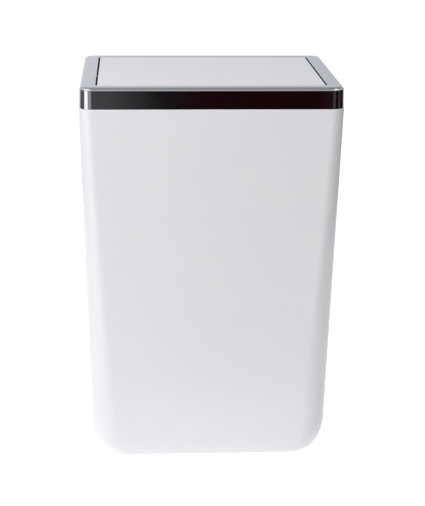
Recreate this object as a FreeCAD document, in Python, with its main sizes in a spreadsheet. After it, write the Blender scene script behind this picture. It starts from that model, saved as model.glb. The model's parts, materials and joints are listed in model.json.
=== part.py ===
"""Lidded waste bin: a tapered bucket under a lift-off lid with a plated collar and a push flap.

Millimetres. +Z is up, the front faces -Y and the origin is on the floor, under the middle of the bin.
"""
import FreeCAD, Part
import math
import os
import Sketcher
from FreeCAD import Vector

doc = FreeCAD.newDocument("LiddedWasteBin")
sheet = doc.addObject("Spreadsheet::Sheet", "Sizes")

# Driving dimensions: alias, value, what it measures
DRIVING_SIZES = (
    ("lid_width", 236.5, "collar across the bin, at its lower edge"),
    ("lid_depth", 195, "collar from front to back, at its lower edge"),
    ("lid_height", 362, "top of the lid above the floor"),
    ("collar_height", 19.5, "collar from the bucket's rim to the top of the lid"),
    ("collar_draft", 0.4, "how far each side of the collar leans in towards its top"),
    ("collar_corner", 11, "plan radius of the collar's corners"),
    ("collar_edge_round", 3, "rounding along the collar's top edge"),
    ("collar_wall", 1.8, "thickness of the collar's band"),
    ("collar_top", 2, "thickness of the collar's top strips"),
    ("side_strip", 14.25, "collar's top strip left and right of the flap"),
    ("end_strip", 12.8, "collar's top strip in front of and behind the flap"),
    ("opening_corner", 3.5, "plan radius of the opening's corners"),
    ("opening_edge_round", 0.5, "rounding along the opening's top edge"),
    ("lip_wall", 1.6, "thickness of the lip round the opening"),
    ("lip_gap", 1, "lip's lower edge above the carrier's web"),
    ("side_gap", 1.5, "slit between the flap and the collar, left and right"),
    ("end_gap", 1.2, "gap between the flap and the collar, front and back"),
    ("rim_step", 0.5, "how far the bucket's rim stands out past the collar's lower edge"),
    ("rim_corner", 11.5, "plan radius of the bucket's corners at the rim"),
    ("rim_edge_round", 0.5, "rounding along the rim's edges"),
    ("base_width", 220.5, "bucket across its sides, carried straight down to the floor"),
    ("base_depth", 175.5, "bucket from front to back, carried straight down to the floor"),
    ("base_corner", 25, "plan radius of the bucket's corners, carried down to the floor"),
    ("base_round_height", 38, "height of the rounding between the walls and the base"),
    ("base_round_inset", 22, "how far that rounding draws in"),
    ("bucket_wall", 2.2, "thickness of the bucket's walls"),
    ("bucket_base", 3.2, "thickness of the bucket's base"),
    ("foot_ring_width", 8, "ring that the bucket stands on"),
    ("foot_ring_height", 1, "recess inside that ring"),
    ("spigot_depth", 12.5, "carrier's reach into the bucket's mouth"),
    ("spigot_clearance", 1.3, "play between the carrier and the bucket at the spigot's lower edge"),
    ("carrier_wall", 1.8, "thickness of the carrier's outer wall"),
    ("carrier_web", 2, "thickness of the carrier's web and ledge"),
    ("carrier_skirt", 1.6, "thickness of the carrier's wall round the opening"),
    ("carrier_skirt_drop", 4, "reach of that wall below the web"),
    ("carrier_corner", 9, "plan radius of the carrier's corners"),
    ("carrier_clearance", 0.3, "play between the carrier and the collar"),
    ("ledge_margin", 1, "rear ledge's reach in front of the bumpers"),
    ("ledge_length", 150, "length of the rear ledge"),
    ("post_length", 16, "bearing post along the bin's side"),
    ("pivot_forward", 4, "pivot axis ahead of the bin's middle"),
    ("pivot_depth", 5.5, "pivot axis below the top of the lid"),
    ("pin_diameter", 3, "pivot pins"),
    ("pin_chamfer", 0.4, "chamfer on the pins' ends"),
    ("pin_grip", 12, "length of a pin inside the flap"),
    ("pin_play", 0.05, "running clearance round a pin"),
    ("pin_hole_margin", 0.5, "room round a pin where it passes through the lip and the flap's skirt"),
    ("seat_clearance", 0.02, "clearance round a piece that is pushed into its seat"),
    ("bush_wall", 1, "wall of the pivot bushes"),
    ("bush_flange", 0.8, "how far a bush's flange stands out beyond its barrel"),
    ("bush_flange_thickness", 0.8, "thickness of a bush's flange"),
    ("open_angle", 75, "degrees that the flap opens before it meets its stops"),
    ("stop_drop", 8, "upper edge of a stop below the pivot axis"),
    ("stop_height", 9, "height of a stop"),
    ("stop_back", 8, "rear face of a stop behind the pivot axis"),
    ("stop_overlap", 4, "reach of a stop under the flap's side"),
    ("stop_clearance", 0.3, "gap between a stop and the flap when it is open"),
    ("flap_corner", 2.5, "plan radius of the flap's corners"),
    ("flap_edge_round", 0.8, "rounding along the flap's top edge"),
    ("panel_thickness", 2.4, "thickness of the flap's top"),
    ("panel_skirt_wall", 1.8, "thickness of the flap panel's skirt"),
    ("panel_skirt_depth", 7, "depth of the flap panel from its top"),
    ("underpan_thickness", 2, "thickness of the flap's underpan"),
    ("underpan_margin", 0.3, "how far the underpan stands back from the panel's edge"),
    ("pin_boss_width", 9, "block in the underpan that holds a pin"),
    ("pin_boss_clearance", 0.3, "room between that block and the panel"),
    ("rib_thickness", 1.6, "ribs under the underpan"),
    ("rib_height", 1.2, "ribs under the underpan"),
    ("rib_border", 13, "outermost rib from the flap's edge"),
    ("screw_diameter", 2.9, "screw threads"),
    ("screw_head_diameter", 4.8, "screw heads"),
    ("screw_head_height", 1.9, "screw heads"),
    ("screw_head_dome", 0.6, "rounded top of the screw heads"),
    ("screw_recess_diameter", 1.8, "drive recess in a screw head"),
    ("screw_recess_depth", 1, "drive recess in a screw head"),
    ("screw_tip", 1.2, "tapered tip of a screw"),
    ("screw_tip_clearance", 0.8, "room above a screw's tip"),
    ("screw_play", 0.15, "room round a screw in its through hole"),
    ("collar_boss_play", 0.25, "room between a collar boss and the carrier's walls"),
    ("collar_screw_spacing", 72, "outer collar screws from the bin's middle"),
    ("collar_screw_middle", 24, "middle collar screws behind the bin's middle"),
    ("flap_boss_diameter", 6.5, "screw bosses under the flap panel"),
    ("flap_screw_inset", 24, "flap screws from the flap's edges"),
    ("bumper_diameter", 8, "heads of the closing bumpers"),
    ("bumper_head", 1.9, "height of a bumper's head"),
    ("bumper_edge", 0.5, "chamfer on a bumper's head"),
    ("bumper_stem_diameter", 3.2, "stems of the closing bumpers"),
    ("bumper_spread", 110, "distance between the closing bumpers"),
    ("bumper_inset", 5, "closing bumpers from the flap's rear edge"),
    ("bumper_gap", 0.1, "gap between a bumper and the closed flap"),
    ("overrun", 1, "how far a cut runs past the surface that it opens"),
)

for row, (alias, number, meaning) in enumerate(DRIVING_SIZES, 1):
    sheet.set("A%d" % row, meaning)
    sheet.set("B%d" % row, str(number))
    sheet.setAlias("B%d" % row, alias)
doc.recompute()

# How far along the base rounding its cross-sections stand, from the wall to the floor
BASE_ROUND_SHARES = (0, 0.12, 0.28, 0.46, 0.64, 0.82, 1)
# Share of the rounding's inset that is taken off the plan radius of the corners
CORNER_SHRINK_SHARE = 0.4
# Ribs under the flap as shares of the distance between the outermost ones
RIB_SHARES = (-0.5, 0, 0.5)
SIDES = (("left", -1), ("right", 1))
# Lengths closer than this are taken to be equal
TOUCHING = Part.Precision.confusion() * 1000

# Heights above the floor
LID_TOP = "Sizes.lid_height"
RIM_TOP = "(Sizes.lid_height - Sizes.collar_height)"
STRIP_UNDERSIDE = "(Sizes.lid_height - Sizes.collar_top)"
PIVOT_Z = "(Sizes.lid_height - Sizes.pivot_depth)"
PANEL_UNDERSIDE = "(Sizes.lid_height - Sizes.panel_thickness)"
PANEL_BOTTOM = "(Sizes.lid_height - Sizes.panel_skirt_depth)"
FLAP_BOTTOM = "(%s - Sizes.underpan_thickness)" % PANEL_BOTTOM
WEB_TOP = "(%s - Sizes.bumper_gap - Sizes.bumper_head)" % FLAP_BOTTOM
WEB_BOTTOM = "(%s - Sizes.carrier_web)" % WEB_TOP
LIP_BOTTOM = "(%s + Sizes.lip_gap)" % WEB_TOP
CARRIER_TOP = "(%s - Sizes.carrier_clearance)" % STRIP_UNDERSIDE
SKIRT_BOTTOM = "(%s - Sizes.carrier_skirt_drop)" % WEB_BOTTOM
SPIGOT_BOTTOM = "(%s - Sizes.spigot_depth)" % RIM_TOP
STOP_BOTTOM = "(%s - Sizes.stop_drop - Sizes.stop_height)" % PIVOT_Z

# Places in plan
PIVOT_Y = "(-Sizes.pivot_forward)"
OPENING_WIDTH = "(Sizes.lid_width - 2 * Sizes.side_strip)"
OPENING_DEPTH = "(Sizes.lid_depth - 2 * Sizes.end_strip)"
FLAP_WIDTH = "(%s - 2 * Sizes.side_gap)" % OPENING_WIDTH
FLAP_DEPTH = "(%s - 2 * Sizes.end_gap)" % OPENING_DEPTH
LIP_WIDTH = "(%s + 2 * Sizes.lip_wall)" % OPENING_WIDTH
LIP_DEPTH = "(%s + 2 * Sizes.lip_wall)" % OPENING_DEPTH
LIP_CORNER = "(Sizes.opening_corner + Sizes.lip_wall)"
THROAT_WIDTH = "(%s + 2 * Sizes.carrier_clearance)" % LIP_WIDTH
THROAT_DEPTH = "(%s + 2 * Sizes.carrier_clearance)" % LIP_DEPTH
THROAT_CORNER = "(%s + Sizes.carrier_clearance)" % LIP_CORNER
SKIRT_WIDTH = "(%s + 2 * Sizes.carrier_skirt)" % THROAT_WIDTH
SKIRT_DEPTH = "(%s + 2 * Sizes.carrier_skirt)" % THROAT_DEPTH
SKIRT_CORNER = "(%s + Sizes.carrier_skirt)" % THROAT_CORNER
HOLLOW_INSET = "(Sizes.collar_wall + Sizes.collar_draft)"


def between_base_and_rim(base, rim, height):
    """Expression for a size of the straight bucket wall at a height above the floor."""
    return "(%s + (%s - %s) * %s / %s)" % (base, rim, base, height, RIM_TOP)


RIM_WIDTH = "(Sizes.lid_width + 2 * Sizes.rim_step)"
RIM_DEPTH = "(Sizes.lid_depth + 2 * Sizes.rim_step)"


def bucket_width(height):
    return between_base_and_rim("Sizes.base_width", RIM_WIDTH, height)


def bucket_depth(height):
    return between_base_and_rim("Sizes.base_depth", RIM_DEPTH, height)


def bucket_corner(height):
    return between_base_and_rim("Sizes.base_corner", "Sizes.rim_corner", height)


SPIGOT_INSET = "(Sizes.bucket_wall + Sizes.spigot_clearance)"
# The carrier fits the bucket's mouth, and the flanges of the bushes in its sides fit the collar's hollow
WIDTH_IN_BUCKET = "(%s - 2 * %s)" % (bucket_width(SPIGOT_BOTTOM), SPIGOT_INSET)
FLANGE_INSET = "(%s + Sizes.carrier_clearance + Sizes.bush_flange_thickness)" % HOLLOW_INSET
WIDTH_IN_COLLAR = "(Sizes.lid_width - 2 * %s)" % FLANGE_INSET
SPIGOT_WIDTH = "min(%s; %s)" % (WIDTH_IN_BUCKET, WIDTH_IN_COLLAR)
SPIGOT_DEPTH = "(%s - 2 * %s)" % (bucket_depth(SPIGOT_BOTTOM), SPIGOT_INSET)
CHANNEL_OUTSIDE = "(%s / 2 - Sizes.carrier_wall)" % SPIGOT_WIDTH
CHANNEL_INSIDE = "(%s / 2)" % SKIRT_WIDTH
COLLAR_BOSS_X = "((%s + %s) / 2)" % (CHANNEL_OUTSIDE, CHANNEL_INSIDE)
COLLAR_BOSS_DIAMETER = "(%s - %s - 2 * Sizes.collar_boss_play)" % (CHANNEL_OUTSIDE, CHANNEL_INSIDE)
PIN_HOLE = "(Sizes.pin_diameter + 2 * Sizes.pin_hole_margin)"
PIN_BORE = "(Sizes.pin_diameter + 2 * Sizes.pin_play)"
PIN_SEAT = "(Sizes.pin_diameter + 2 * Sizes.seat_clearance)"
BUSH_DIAMETER = "(%s + 2 * Sizes.bush_wall)" % PIN_BORE
BUSH_SEAT = "(%s + 2 * Sizes.seat_clearance)" % BUSH_DIAMETER
SCREW_PILOT = "(Sizes.screw_diameter + 2 * Sizes.seat_clearance)"
SCREW_HOLE = "(Sizes.screw_diameter + 2 * Sizes.screw_play)"
BUMPER_Y = "(%s / 2 - Sizes.bumper_inset)" % FLAP_DEPTH
BUMPER_SEAT = "(Sizes.bumper_stem_diameter + 2 * Sizes.seat_clearance)"


def new_body(name):
    body = doc.addObject("PartDesign::Body", name)
    body.Label = name
    return body


def sketch_on(body, name, plane, offsets):
    """A sketch on one of the body's origin planes, shifted along the sketch's own x, y and normal."""
    sketch = body.newObject("Sketcher::SketchObject", name)
    support = [item for item in body.Origin.OriginFeatures if item.Role == plane][0]
    sketch.AttachmentSupport = (support, "")
    sketch.MapMode = "FlatFace"
    for axis, offset in zip("xyz", offsets):
        if offset != "0":
            sketch.setExpression("AttachmentOffset.Base." + axis, offset)
    return sketch


def level(body, name, height):
    """A horizontal sketch at a height above the floor."""
    return sketch_on(body, name, "XY_Plane", ("0", "0", height))


def evaluate(sketch, expression):
    answer = sketch.evalExpression(expression)
    return float(getattr(answer, "Value", answer))


def dimension(sketch, kind, places, expression):
    """A constraint whose value follows an expression."""
    index = sketch.addConstraint(Sketcher.Constraint(kind, *places, evaluate(sketch, expression)))
    sketch.setExpression("Constraints[%d]" % index, expression)


def pin_point(sketch, place, across, along):
    """Holds a point at a distance from the sketch's origin, or on its axis where the distance is 0."""
    for kind, axis, expression in (("DistanceX", -2, across), ("DistanceY", -1, along)):
        if expression == "0":
            sketch.addConstraint(Sketcher.Constraint("PointOnObject", *place, axis))
        else:
            dimension(sketch, kind, (-1, 1) + place, expression)


def add_rounded_rectangle(sketch, width, depth, radius):
    """A rectangle with round corners, centred on the sketch's origin."""
    half_width = evaluate(sketch, width) / 2
    half_depth = evaluate(sketch, depth) / 2
    round_off = evaluate(sketch, radius)
    arcs = []
    lines = []
    for quarter, (x_side, y_side) in enumerate(((1, 1), (-1, 1), (-1, -1), (1, -1))):
        centre = Vector(x_side * (half_width - round_off), y_side * (half_depth - round_off), 0)
        circle = Part.Circle(centre, Vector(0, 0, 1), round_off)
        turn = math.pi / 2
        arc = Part.ArcOfCircle(circle, quarter * turn, (quarter + 1) * turn)
        arcs.append(sketch.addGeometry(arc, False))
    for quarter in range(4):
        start = sketch.getPoint(arcs[quarter], 2)
        end = sketch.getPoint(arcs[(quarter + 1) % 4], 1)
        lines.append(sketch.addGeometry(Part.LineSegment(start, end), False))
    for quarter in range(4):
        following = arcs[(quarter + 1) % 4]
        sketch.addConstraint(Sketcher.Constraint("Tangent", arcs[quarter], 2, lines[quarter], 1))
        sketch.addConstraint(Sketcher.Constraint("Tangent", lines[quarter], 2, following, 1))
        run = "Vertical" if quarter % 2 else "Horizontal"
        sketch.addConstraint(Sketcher.Constraint(run, lines[quarter]))
        if quarter:
            sketch.addConstraint(Sketcher.Constraint("Equal", arcs[0], arcs[quarter]))
    sketch.addConstraint(Sketcher.Constraint("Symmetric", arcs[0], 3, arcs[2], 3, -1, 1))
    dimension(sketch, "Radius", (arcs[0],), radius)
    dimension(sketch, "DistanceX", (lines[1], 1, lines[3], 1), width)
    dimension(sketch, "DistanceY", (lines[2], 1, lines[0], 1), depth)


def add_polygon(sketch, points):
    """A closed outline through points given as pairs of expressions."""
    spots = [Vector(evaluate(sketch, u), evaluate(sketch, v), 0) for u, v in points]
    lines = []
    for spot, following in zip(spots, spots[1:] + spots[:1]):
        lines.append(sketch.addGeometry(Part.LineSegment(spot, following), False))
    for line, following in zip(lines, lines[1:] + lines[:1]):
        sketch.addConstraint(Sketcher.Constraint("Coincident", line, 2, following, 1))
    for line, (u, v) in zip(lines, points):
        pin_point(sketch, (line, 1), u, v)


def add_block(sketch, low_u, high_u, low_v, high_v):
    """An upright rectangle between two pairs of expressions."""
    add_polygon(sketch, ((low_u, low_v), (high_u, low_v), (high_u, high_v), (low_u, high_v)))


def add_circle(sketch, u, v, diameter):
    centre = Vector(evaluate(sketch, u), evaluate(sketch, v), 0)
    circle = Part.Circle(centre, Vector(0, 0, 1), evaluate(sketch, diameter) / 2)
    index = sketch.addGeometry(circle, False)
    pin_point(sketch, (index, 3), u, v)
    dimension(sketch, "Diameter", (index,), diameter)


def grow(body, sketch, length, backwards=False):
    """Pads a sketch along its normal, or against it."""
    feature = body.newObject("PartDesign::Pad", sketch.Name + "_pad")
    feature.Profile = sketch
    feature.setExpression("Length", length)
    feature.Reversed = backwards
    doc.recompute()
    return feature


def cut(body, sketch, length, along_normal=False, both_ways=False):
    """Pockets a sketch against its normal, along it or both ways, and makes sure that it removed something."""
    before = body.Shape.Volume
    feature = body.newObject("PartDesign::Pocket", sketch.Name + "_pocket")
    feature.Profile = sketch
    feature.setExpression("Length", length)
    feature.Reversed = along_normal
    if both_ways:
        feature.SideType = "Symmetric"
    doc.recompute()
    if not body.Shape.Volume < before:
        raise ValueError("%s removes nothing" % feature.Name)
    return feature


def loft(body, kind, name, sketches, ruled):
    feature = body.newObject("PartDesign::" + kind, name)
    feature.Profile = sketches[0]
    feature.Sections = list(sketches[1:])
    feature.Ruled = ruled
    doc.recompute()
    return feature


def edges_at(feature, height, half_width=math.inf, half_depth=math.inf):
    """Names of a feature's edges that lie flat at a height, within a half width and depth of the middle."""
    names = []
    for index, edge in enumerate(feature.Shape.Edges, 1):
        box = edge.BoundBox
        misses = (
            abs(box.ZMin - height),
            abs(box.ZMax - height),
            max(-box.XMin, box.XMax) - half_width,
            max(-box.YMin, box.YMax) - half_depth,
        )
        if max(misses) < TOUCHING:
            names.append("Edge%d" % index)
    return names


def round_edges(body, name, feature, edges, radius):
    fillet = body.newObject("PartDesign::Fillet", name)
    fillet.Base = (feature, edges)
    fillet.setExpression("Radius", radius)
    doc.recompute()
    return fillet


def turn_round(body, sketch, axis):
    """Revolves a sketch about one of its own axes."""
    feature = body.newObject("PartDesign::Revolution", sketch.Name + "_turned")
    feature.Profile = sketch
    feature.ReferenceAxis = (sketch, [axis])
    feature.Angle = 360
    doc.recompute()
    return feature


def ring(body, name, bottom, top, outside, inside):
    """A rounded rectangular ring between two heights."""
    sketch = level(body, name, bottom)
    add_rounded_rectangle(sketch, *outside)
    add_rounded_rectangle(sketch, *inside)
    return grow(body, sketch, "%s - %s" % (top, bottom))


def negative(expression):
    return "(-%s)" % expression


def mirrored(side, expression):
    """An expression on the bin's right, or its mirror image on the left."""
    return expression if side > 0 else negative(expression)


def bucket_section(body, name, share, inset, floor):
    """A cross-section of the bucket, in by a wall and up by a base: share 0 is where the rounding starts."""
    angle = "(%s * 90 deg)" % share
    rounded = "Sizes.base_round_inset * (1 - cos%s)" % angle
    height = "(%s + (Sizes.base_round_height - %s) * (1 - sin%s))" % (floor, floor, angle)
    sketch = level(body, name, height)
    drawn_in = "(2 * (%s + %s))" % (inset, rounded)
    add_rounded_rectangle(
        sketch,
        "%s - %s" % (bucket_width(height), drawn_in),
        "%s - %s" % (bucket_depth(height), drawn_in),
        "%s - %s - %s * %s" % (bucket_corner(height), inset, CORNER_SHRINK_SHARE, rounded),
    )
    return sketch


def make_bin_body():
    """Tapered bucket with a rounded base, open at the top, standing on a ring."""
    body = new_body("bin_body")
    for kind, name, inset, floor in (
        ("AdditiveLoft", "outside", "0", "0"),
        ("SubtractiveLoft", "inside", "Sizes.bucket_wall", "Sizes.bucket_base"),
    ):
        rim = level(body, name + "_rim", RIM_TOP)
        add_rounded_rectangle(
            rim,
            "%s - 2 * %s" % (RIM_WIDTH, inset),
            "%s - 2 * %s" % (RIM_DEPTH, inset),
            "Sizes.rim_corner - %s" % inset,
        )
        sections = []
        for number, share in enumerate(BASE_ROUND_SHARES):
            sections.append(bucket_section(body, "%s_base_%d" % (name, number), share, inset, floor))
        loft(body, kind, name + "_wall", [rim, sections[0]], True)
        last = loft(body, kind, name + "_base", sections, False)
    rim_height = evaluate(sheet, RIM_TOP)
    round_edges(body, "rim_round", last, edges_at(last, rim_height), "Sizes.rim_edge_round")
    recess = level(body, "foot_recess", "0")
    drawn_in = "2 * (Sizes.base_round_inset + Sizes.foot_ring_width)"
    add_rounded_rectangle(
        recess,
        "Sizes.base_width - " + drawn_in,
        "Sizes.base_depth - " + drawn_in,
        "(Sizes.base_corner - %s * Sizes.base_round_inset) / 2" % CORNER_SHRINK_SHARE,
    )
    cut(body, recess, "Sizes.foot_ring_height", along_normal=True)
    return body


def collar_screw_places():
    """Plan places of the collar's screws: a row down each side."""
    places = []
    for _, side in SIDES:
        for step in (-1, 0, 1):
            along = "Sizes.collar_screw_middle" if step == 0 else "(%d * Sizes.collar_screw_spacing)" % step
            places.append((mirrored(side, COLLAR_BOSS_X), along))
    return places


def flap_screw_places():
    """Plan places of the flap's screws: one near each corner."""
    places = []
    for _, side in SIDES:
        for end in (-1, 1):
            across = "(%s / 2 - Sizes.flap_screw_inset)" % FLAP_WIDTH
            along = "(%s / 2 - Sizes.flap_screw_inset)" % FLAP_DEPTH
            places.append((mirrored(side, across), mirrored(end, along)))
    return places


def make_chrome_collar():
    """Plated frame: a band round the lid, strips on top and a lip round the opening."""
    body = new_body("chrome_collar")
    foot = level(body, "collar_foot", RIM_TOP)
    add_rounded_rectangle(foot, "Sizes.lid_width", "Sizes.lid_depth", "Sizes.collar_corner")
    block = grow(body, foot, "Sizes.collar_height")
    block.setExpression("TaperAngle", "-atan(Sizes.collar_draft / Sizes.collar_height)")
    doc.recompute()
    top_edges = edges_at(block, evaluate(sheet, LID_TOP))
    round_edges(body, "collar_edge", block, top_edges, "Sizes.collar_edge_round")
    hollow = level(body, "collar_hollow", RIM_TOP)
    add_rounded_rectangle(
        hollow,
        "Sizes.lid_width - 2 * " + HOLLOW_INSET,
        "Sizes.lid_depth - 2 * " + HOLLOW_INSET,
        "Sizes.collar_corner - " + HOLLOW_INSET,
    )
    cut(body, hollow, "%s - %s" % (STRIP_UNDERSIDE, RIM_TOP), along_normal=True)
    lip = level(body, "collar_lip", LIP_BOTTOM)
    add_rounded_rectangle(lip, LIP_WIDTH, LIP_DEPTH, LIP_CORNER)
    grow(body, lip, "%s - %s" % (STRIP_UNDERSIDE, LIP_BOTTOM))
    bosses = level(body, "collar_bosses", WEB_TOP)
    for across, along in collar_screw_places():
        add_circle(bosses, across, along, COLLAR_BOSS_DIAMETER)
    grow(body, bosses, "%s - %s" % (STRIP_UNDERSIDE, WEB_TOP))
    opening = level(body, "collar_opening", LID_TOP)
    add_rounded_rectangle(opening, OPENING_WIDTH, OPENING_DEPTH, "Sizes.opening_corner")
    opened = cut(body, opening, "Sizes.collar_height")
    half_width = evaluate(sheet, OPENING_WIDTH) / 2
    half_depth = evaluate(sheet, OPENING_DEPTH) / 2
    rim_edges = edges_at(opened, evaluate(sheet, LID_TOP), half_width, half_depth)
    round_edges(body, "opening_edge", opened, rim_edges, "Sizes.opening_edge_round")
    pilots = level(body, "collar_pilots", WEB_TOP)
    for across, along in collar_screw_places():
        add_circle(pilots, across, along, SCREW_PILOT)
    cut(body, pilots, "%s - %s" % (STRIP_UNDERSIDE, WEB_TOP), along_normal=True)
    notch = sketch_on(body, "pin_notch", "YZ_Plane", (PIVOT_Y, PIVOT_Z, "0"))
    below = negative("(%s - %s + Sizes.overrun)" % (PIVOT_Z, LIP_BOTTOM))
    half = "(%s / 2)" % PIN_HOLE
    add_block(notch, negative(half), half, below, half)
    cut(body, notch, LIP_WIDTH + " + 2 * Sizes.carrier_clearance", both_ways=True)
    return body


def make_lid_carrier():
    """Inner frame: spigot, web, throat wall, bearing posts, stops and the rear ledge."""
    body = new_body("lid_carrier")
    outside = (SPIGOT_WIDTH, SPIGOT_DEPTH, "Sizes.carrier_corner")
    wall = "2 * Sizes.carrier_wall"
    inside = (
        "%s - %s" % (SPIGOT_WIDTH, wall),
        "%s - %s" % (SPIGOT_DEPTH, wall),
        "Sizes.carrier_corner - Sizes.carrier_wall",
    )
    throat = (THROAT_WIDTH, THROAT_DEPTH, THROAT_CORNER)
    skirt = (SKIRT_WIDTH, SKIRT_DEPTH, SKIRT_CORNER)
    ring(body, "spigot", SPIGOT_BOTTOM, CARRIER_TOP, outside, inside)
    ring(body, "web", WEB_BOTTOM, WEB_TOP, outside, throat)
    ring(body, "skirt", SKIRT_BOTTOM, CARRIER_TOP, skirt, throat)
    ledge = level(body, "ledge", WEB_BOTTOM)
    half_ledge = "(Sizes.ledge_length / 2)"
    ledge_front = "(%s - Sizes.bumper_diameter / 2 - Sizes.ledge_margin)" % BUMPER_Y
    add_block(ledge, negative(half_ledge), half_ledge, ledge_front, "(%s / 2)" % SKIRT_DEPTH)
    grow(body, ledge, "Sizes.carrier_web")
    throat_x = "(%s / 2)" % THROAT_WIDTH
    wall_x = "(%s / 2)" % SPIGOT_WIDTH
    half_post = "(Sizes.post_length / 2)"
    drop = "(%s - %s)" % (FLAP_BOTTOM, PIVOT_Z)
    lean = "tan(90 deg - Sizes.open_angle * 1 deg)"
    offset = "((Sizes.stop_clearance - %s) / sin(Sizes.open_angle * 1 deg))" % drop
    upper = "(-Sizes.stop_drop)"
    lower = "(-Sizes.stop_drop - Sizes.stop_height)"
    front_upper = "(%s + %s * %s)" % (offset, upper, lean)
    front_lower = "(%s + %s * %s)" % (offset, lower, lean)
    for name, side in SIDES:
        post = sketch_on(body, "post_" + name, "YZ_Plane", (PIVOT_Y, "0", mirrored(side, throat_x)))
        add_block(post, negative(half_post), half_post, STOP_BOTTOM, CARRIER_TOP)
        grow(body, post, "%s - %s - Sizes.carrier_wall / 2" % (wall_x, throat_x), side < 0)
        reach = "(%s / 2 - Sizes.stop_overlap)" % FLAP_WIDTH
        places = (PIVOT_Y, PIVOT_Z, mirrored(side, reach))
        stop = sketch_on(body, "stop_" + name, "YZ_Plane", places)
        back = "Sizes.stop_back"
        add_polygon(stop, ((front_upper, upper), (front_lower, lower), (back, lower), (back, upper)))
        grow(body, stop, "%s + Sizes.carrier_skirt - %s" % (throat_x, reach), side < 0)
    bores = sketch_on(body, "bush_bores", "YZ_Plane", (PIVOT_Y, PIVOT_Z, "0"))
    add_circle(bores, "0", "0", BUSH_SEAT)
    cut(body, bores, "Sizes.lid_width", both_ways=True)
    holes = level(body, "screw_holes", WEB_TOP)
    for across, along in collar_screw_places():
        add_circle(holes, across, along, SCREW_HOLE)
    cut(body, holes, "Sizes.carrier_web")
    seats = level(body, "bumper_seats", WEB_TOP)
    for _, side in SIDES:
        add_circle(seats, mirrored(side, "(Sizes.bumper_spread / 2)"), BUMPER_Y, BUMPER_SEAT)
    cut(body, seats, "Sizes.carrier_web")
    return body


def make_pivot_bush(name, side):
    """Flanged bush pushed into a bearing post from outside."""
    body = new_body("pivot_bush_" + name)
    profile = sketch_on(body, "bush_profile_" + name, "XY_Plane", ("0", PIVOT_Y, PIVOT_Z))
    bore = "(%s / 2)" % PIN_BORE
    barrel = "(%s / 2)" % BUSH_DIAMETER
    flange = "(%s + Sizes.bush_flange)" % barrel
    inner = mirrored(side, "(%s / 2)" % THROAT_WIDTH)
    seat = mirrored(side, "(%s / 2)" % SPIGOT_WIDTH)
    outer = mirrored(side, "(%s / 2 + Sizes.bush_flange_thickness)" % SPIGOT_WIDTH)
    add_polygon(
        profile,
        ((inner, bore), (outer, bore), (outer, flange), (seat, flange), (seat, barrel), (inner, barrel)),
    )
    turn_round(body, profile, "H_Axis")
    return body


def make_pivot_pin(name, side):
    """Steel pin pressed into the flap and running in a bush."""
    body = new_body("pivot_pin_" + name)
    profile = sketch_on(body, "pin_profile_" + name, "XY_Plane", ("0", PIVOT_Y, PIVOT_Z))
    radius = "(Sizes.pin_diameter / 2)"
    tip = "(%s - Sizes.pin_chamfer)" % radius
    inner = "(%s / 2 - Sizes.pin_grip)" % FLAP_WIDTH
    outer = "(%s / 2)" % SPIGOT_WIDTH
    stations = (
        (inner, "0"),
        (inner, tip),
        ("(%s + Sizes.pin_chamfer)" % inner, radius),
        ("(%s - Sizes.pin_chamfer)" % outer, radius),
        (outer, tip),
        (outer, "0"),
    )
    add_polygon(profile, [(mirrored(side, along), out) for along, out in stations])
    turn_round(body, profile, "H_Axis")
    return body


def make_flap_panel():
    """Top of the flap: a shallow tray turned upside down, with screw bosses inside."""
    body = new_body("flap_panel")
    slab = level(body, "panel_slab", PANEL_BOTTOM)
    add_rounded_rectangle(slab, FLAP_WIDTH, FLAP_DEPTH, "Sizes.flap_corner")
    block = grow(body, slab, "Sizes.panel_skirt_depth")
    top_edges = edges_at(block, evaluate(sheet, LID_TOP))
    round_edges(body, "panel_edge", block, top_edges, "Sizes.flap_edge_round")
    tray = level(body, "panel_tray", PANEL_BOTTOM)
    wall = "2 * Sizes.panel_skirt_wall"
    corner = "Sizes.flap_corner - Sizes.panel_skirt_wall"
    add_rounded_rectangle(tray, "%s - %s" % (FLAP_WIDTH, wall), "%s - %s" % (FLAP_DEPTH, wall), corner)
    cut(body, tray, "%s - %s" % (PANEL_UNDERSIDE, PANEL_BOTTOM), along_normal=True)
    bosses = level(body, "panel_bosses", PANEL_BOTTOM)
    for across, along in flap_screw_places():
        add_circle(bosses, across, along, "Sizes.flap_boss_diameter")
    grow(body, bosses, "%s - %s" % (PANEL_UNDERSIDE, PANEL_BOTTOM))
    pilots = level(body, "panel_pilots", PANEL_BOTTOM)
    for across, along in flap_screw_places():
        add_circle(pilots, across, along, SCREW_PILOT)
    cut(body, pilots, "%s - %s" % (PANEL_UNDERSIDE, PANEL_BOTTOM), along_normal=True)
    holes = sketch_on(body, "panel_pin_holes", "YZ_Plane", (PIVOT_Y, PIVOT_Z, "0"))
    half = "(Sizes.pin_diameter / 2 + Sizes.seat_clearance)"
    below = negative("(%s - %s + Sizes.overrun)" % (PIVOT_Z, PANEL_BOTTOM))
    add_block(holes, negative(half), half, below, half)
    cut(body, holes, FLAP_WIDTH, both_ways=True)
    return body


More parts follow.
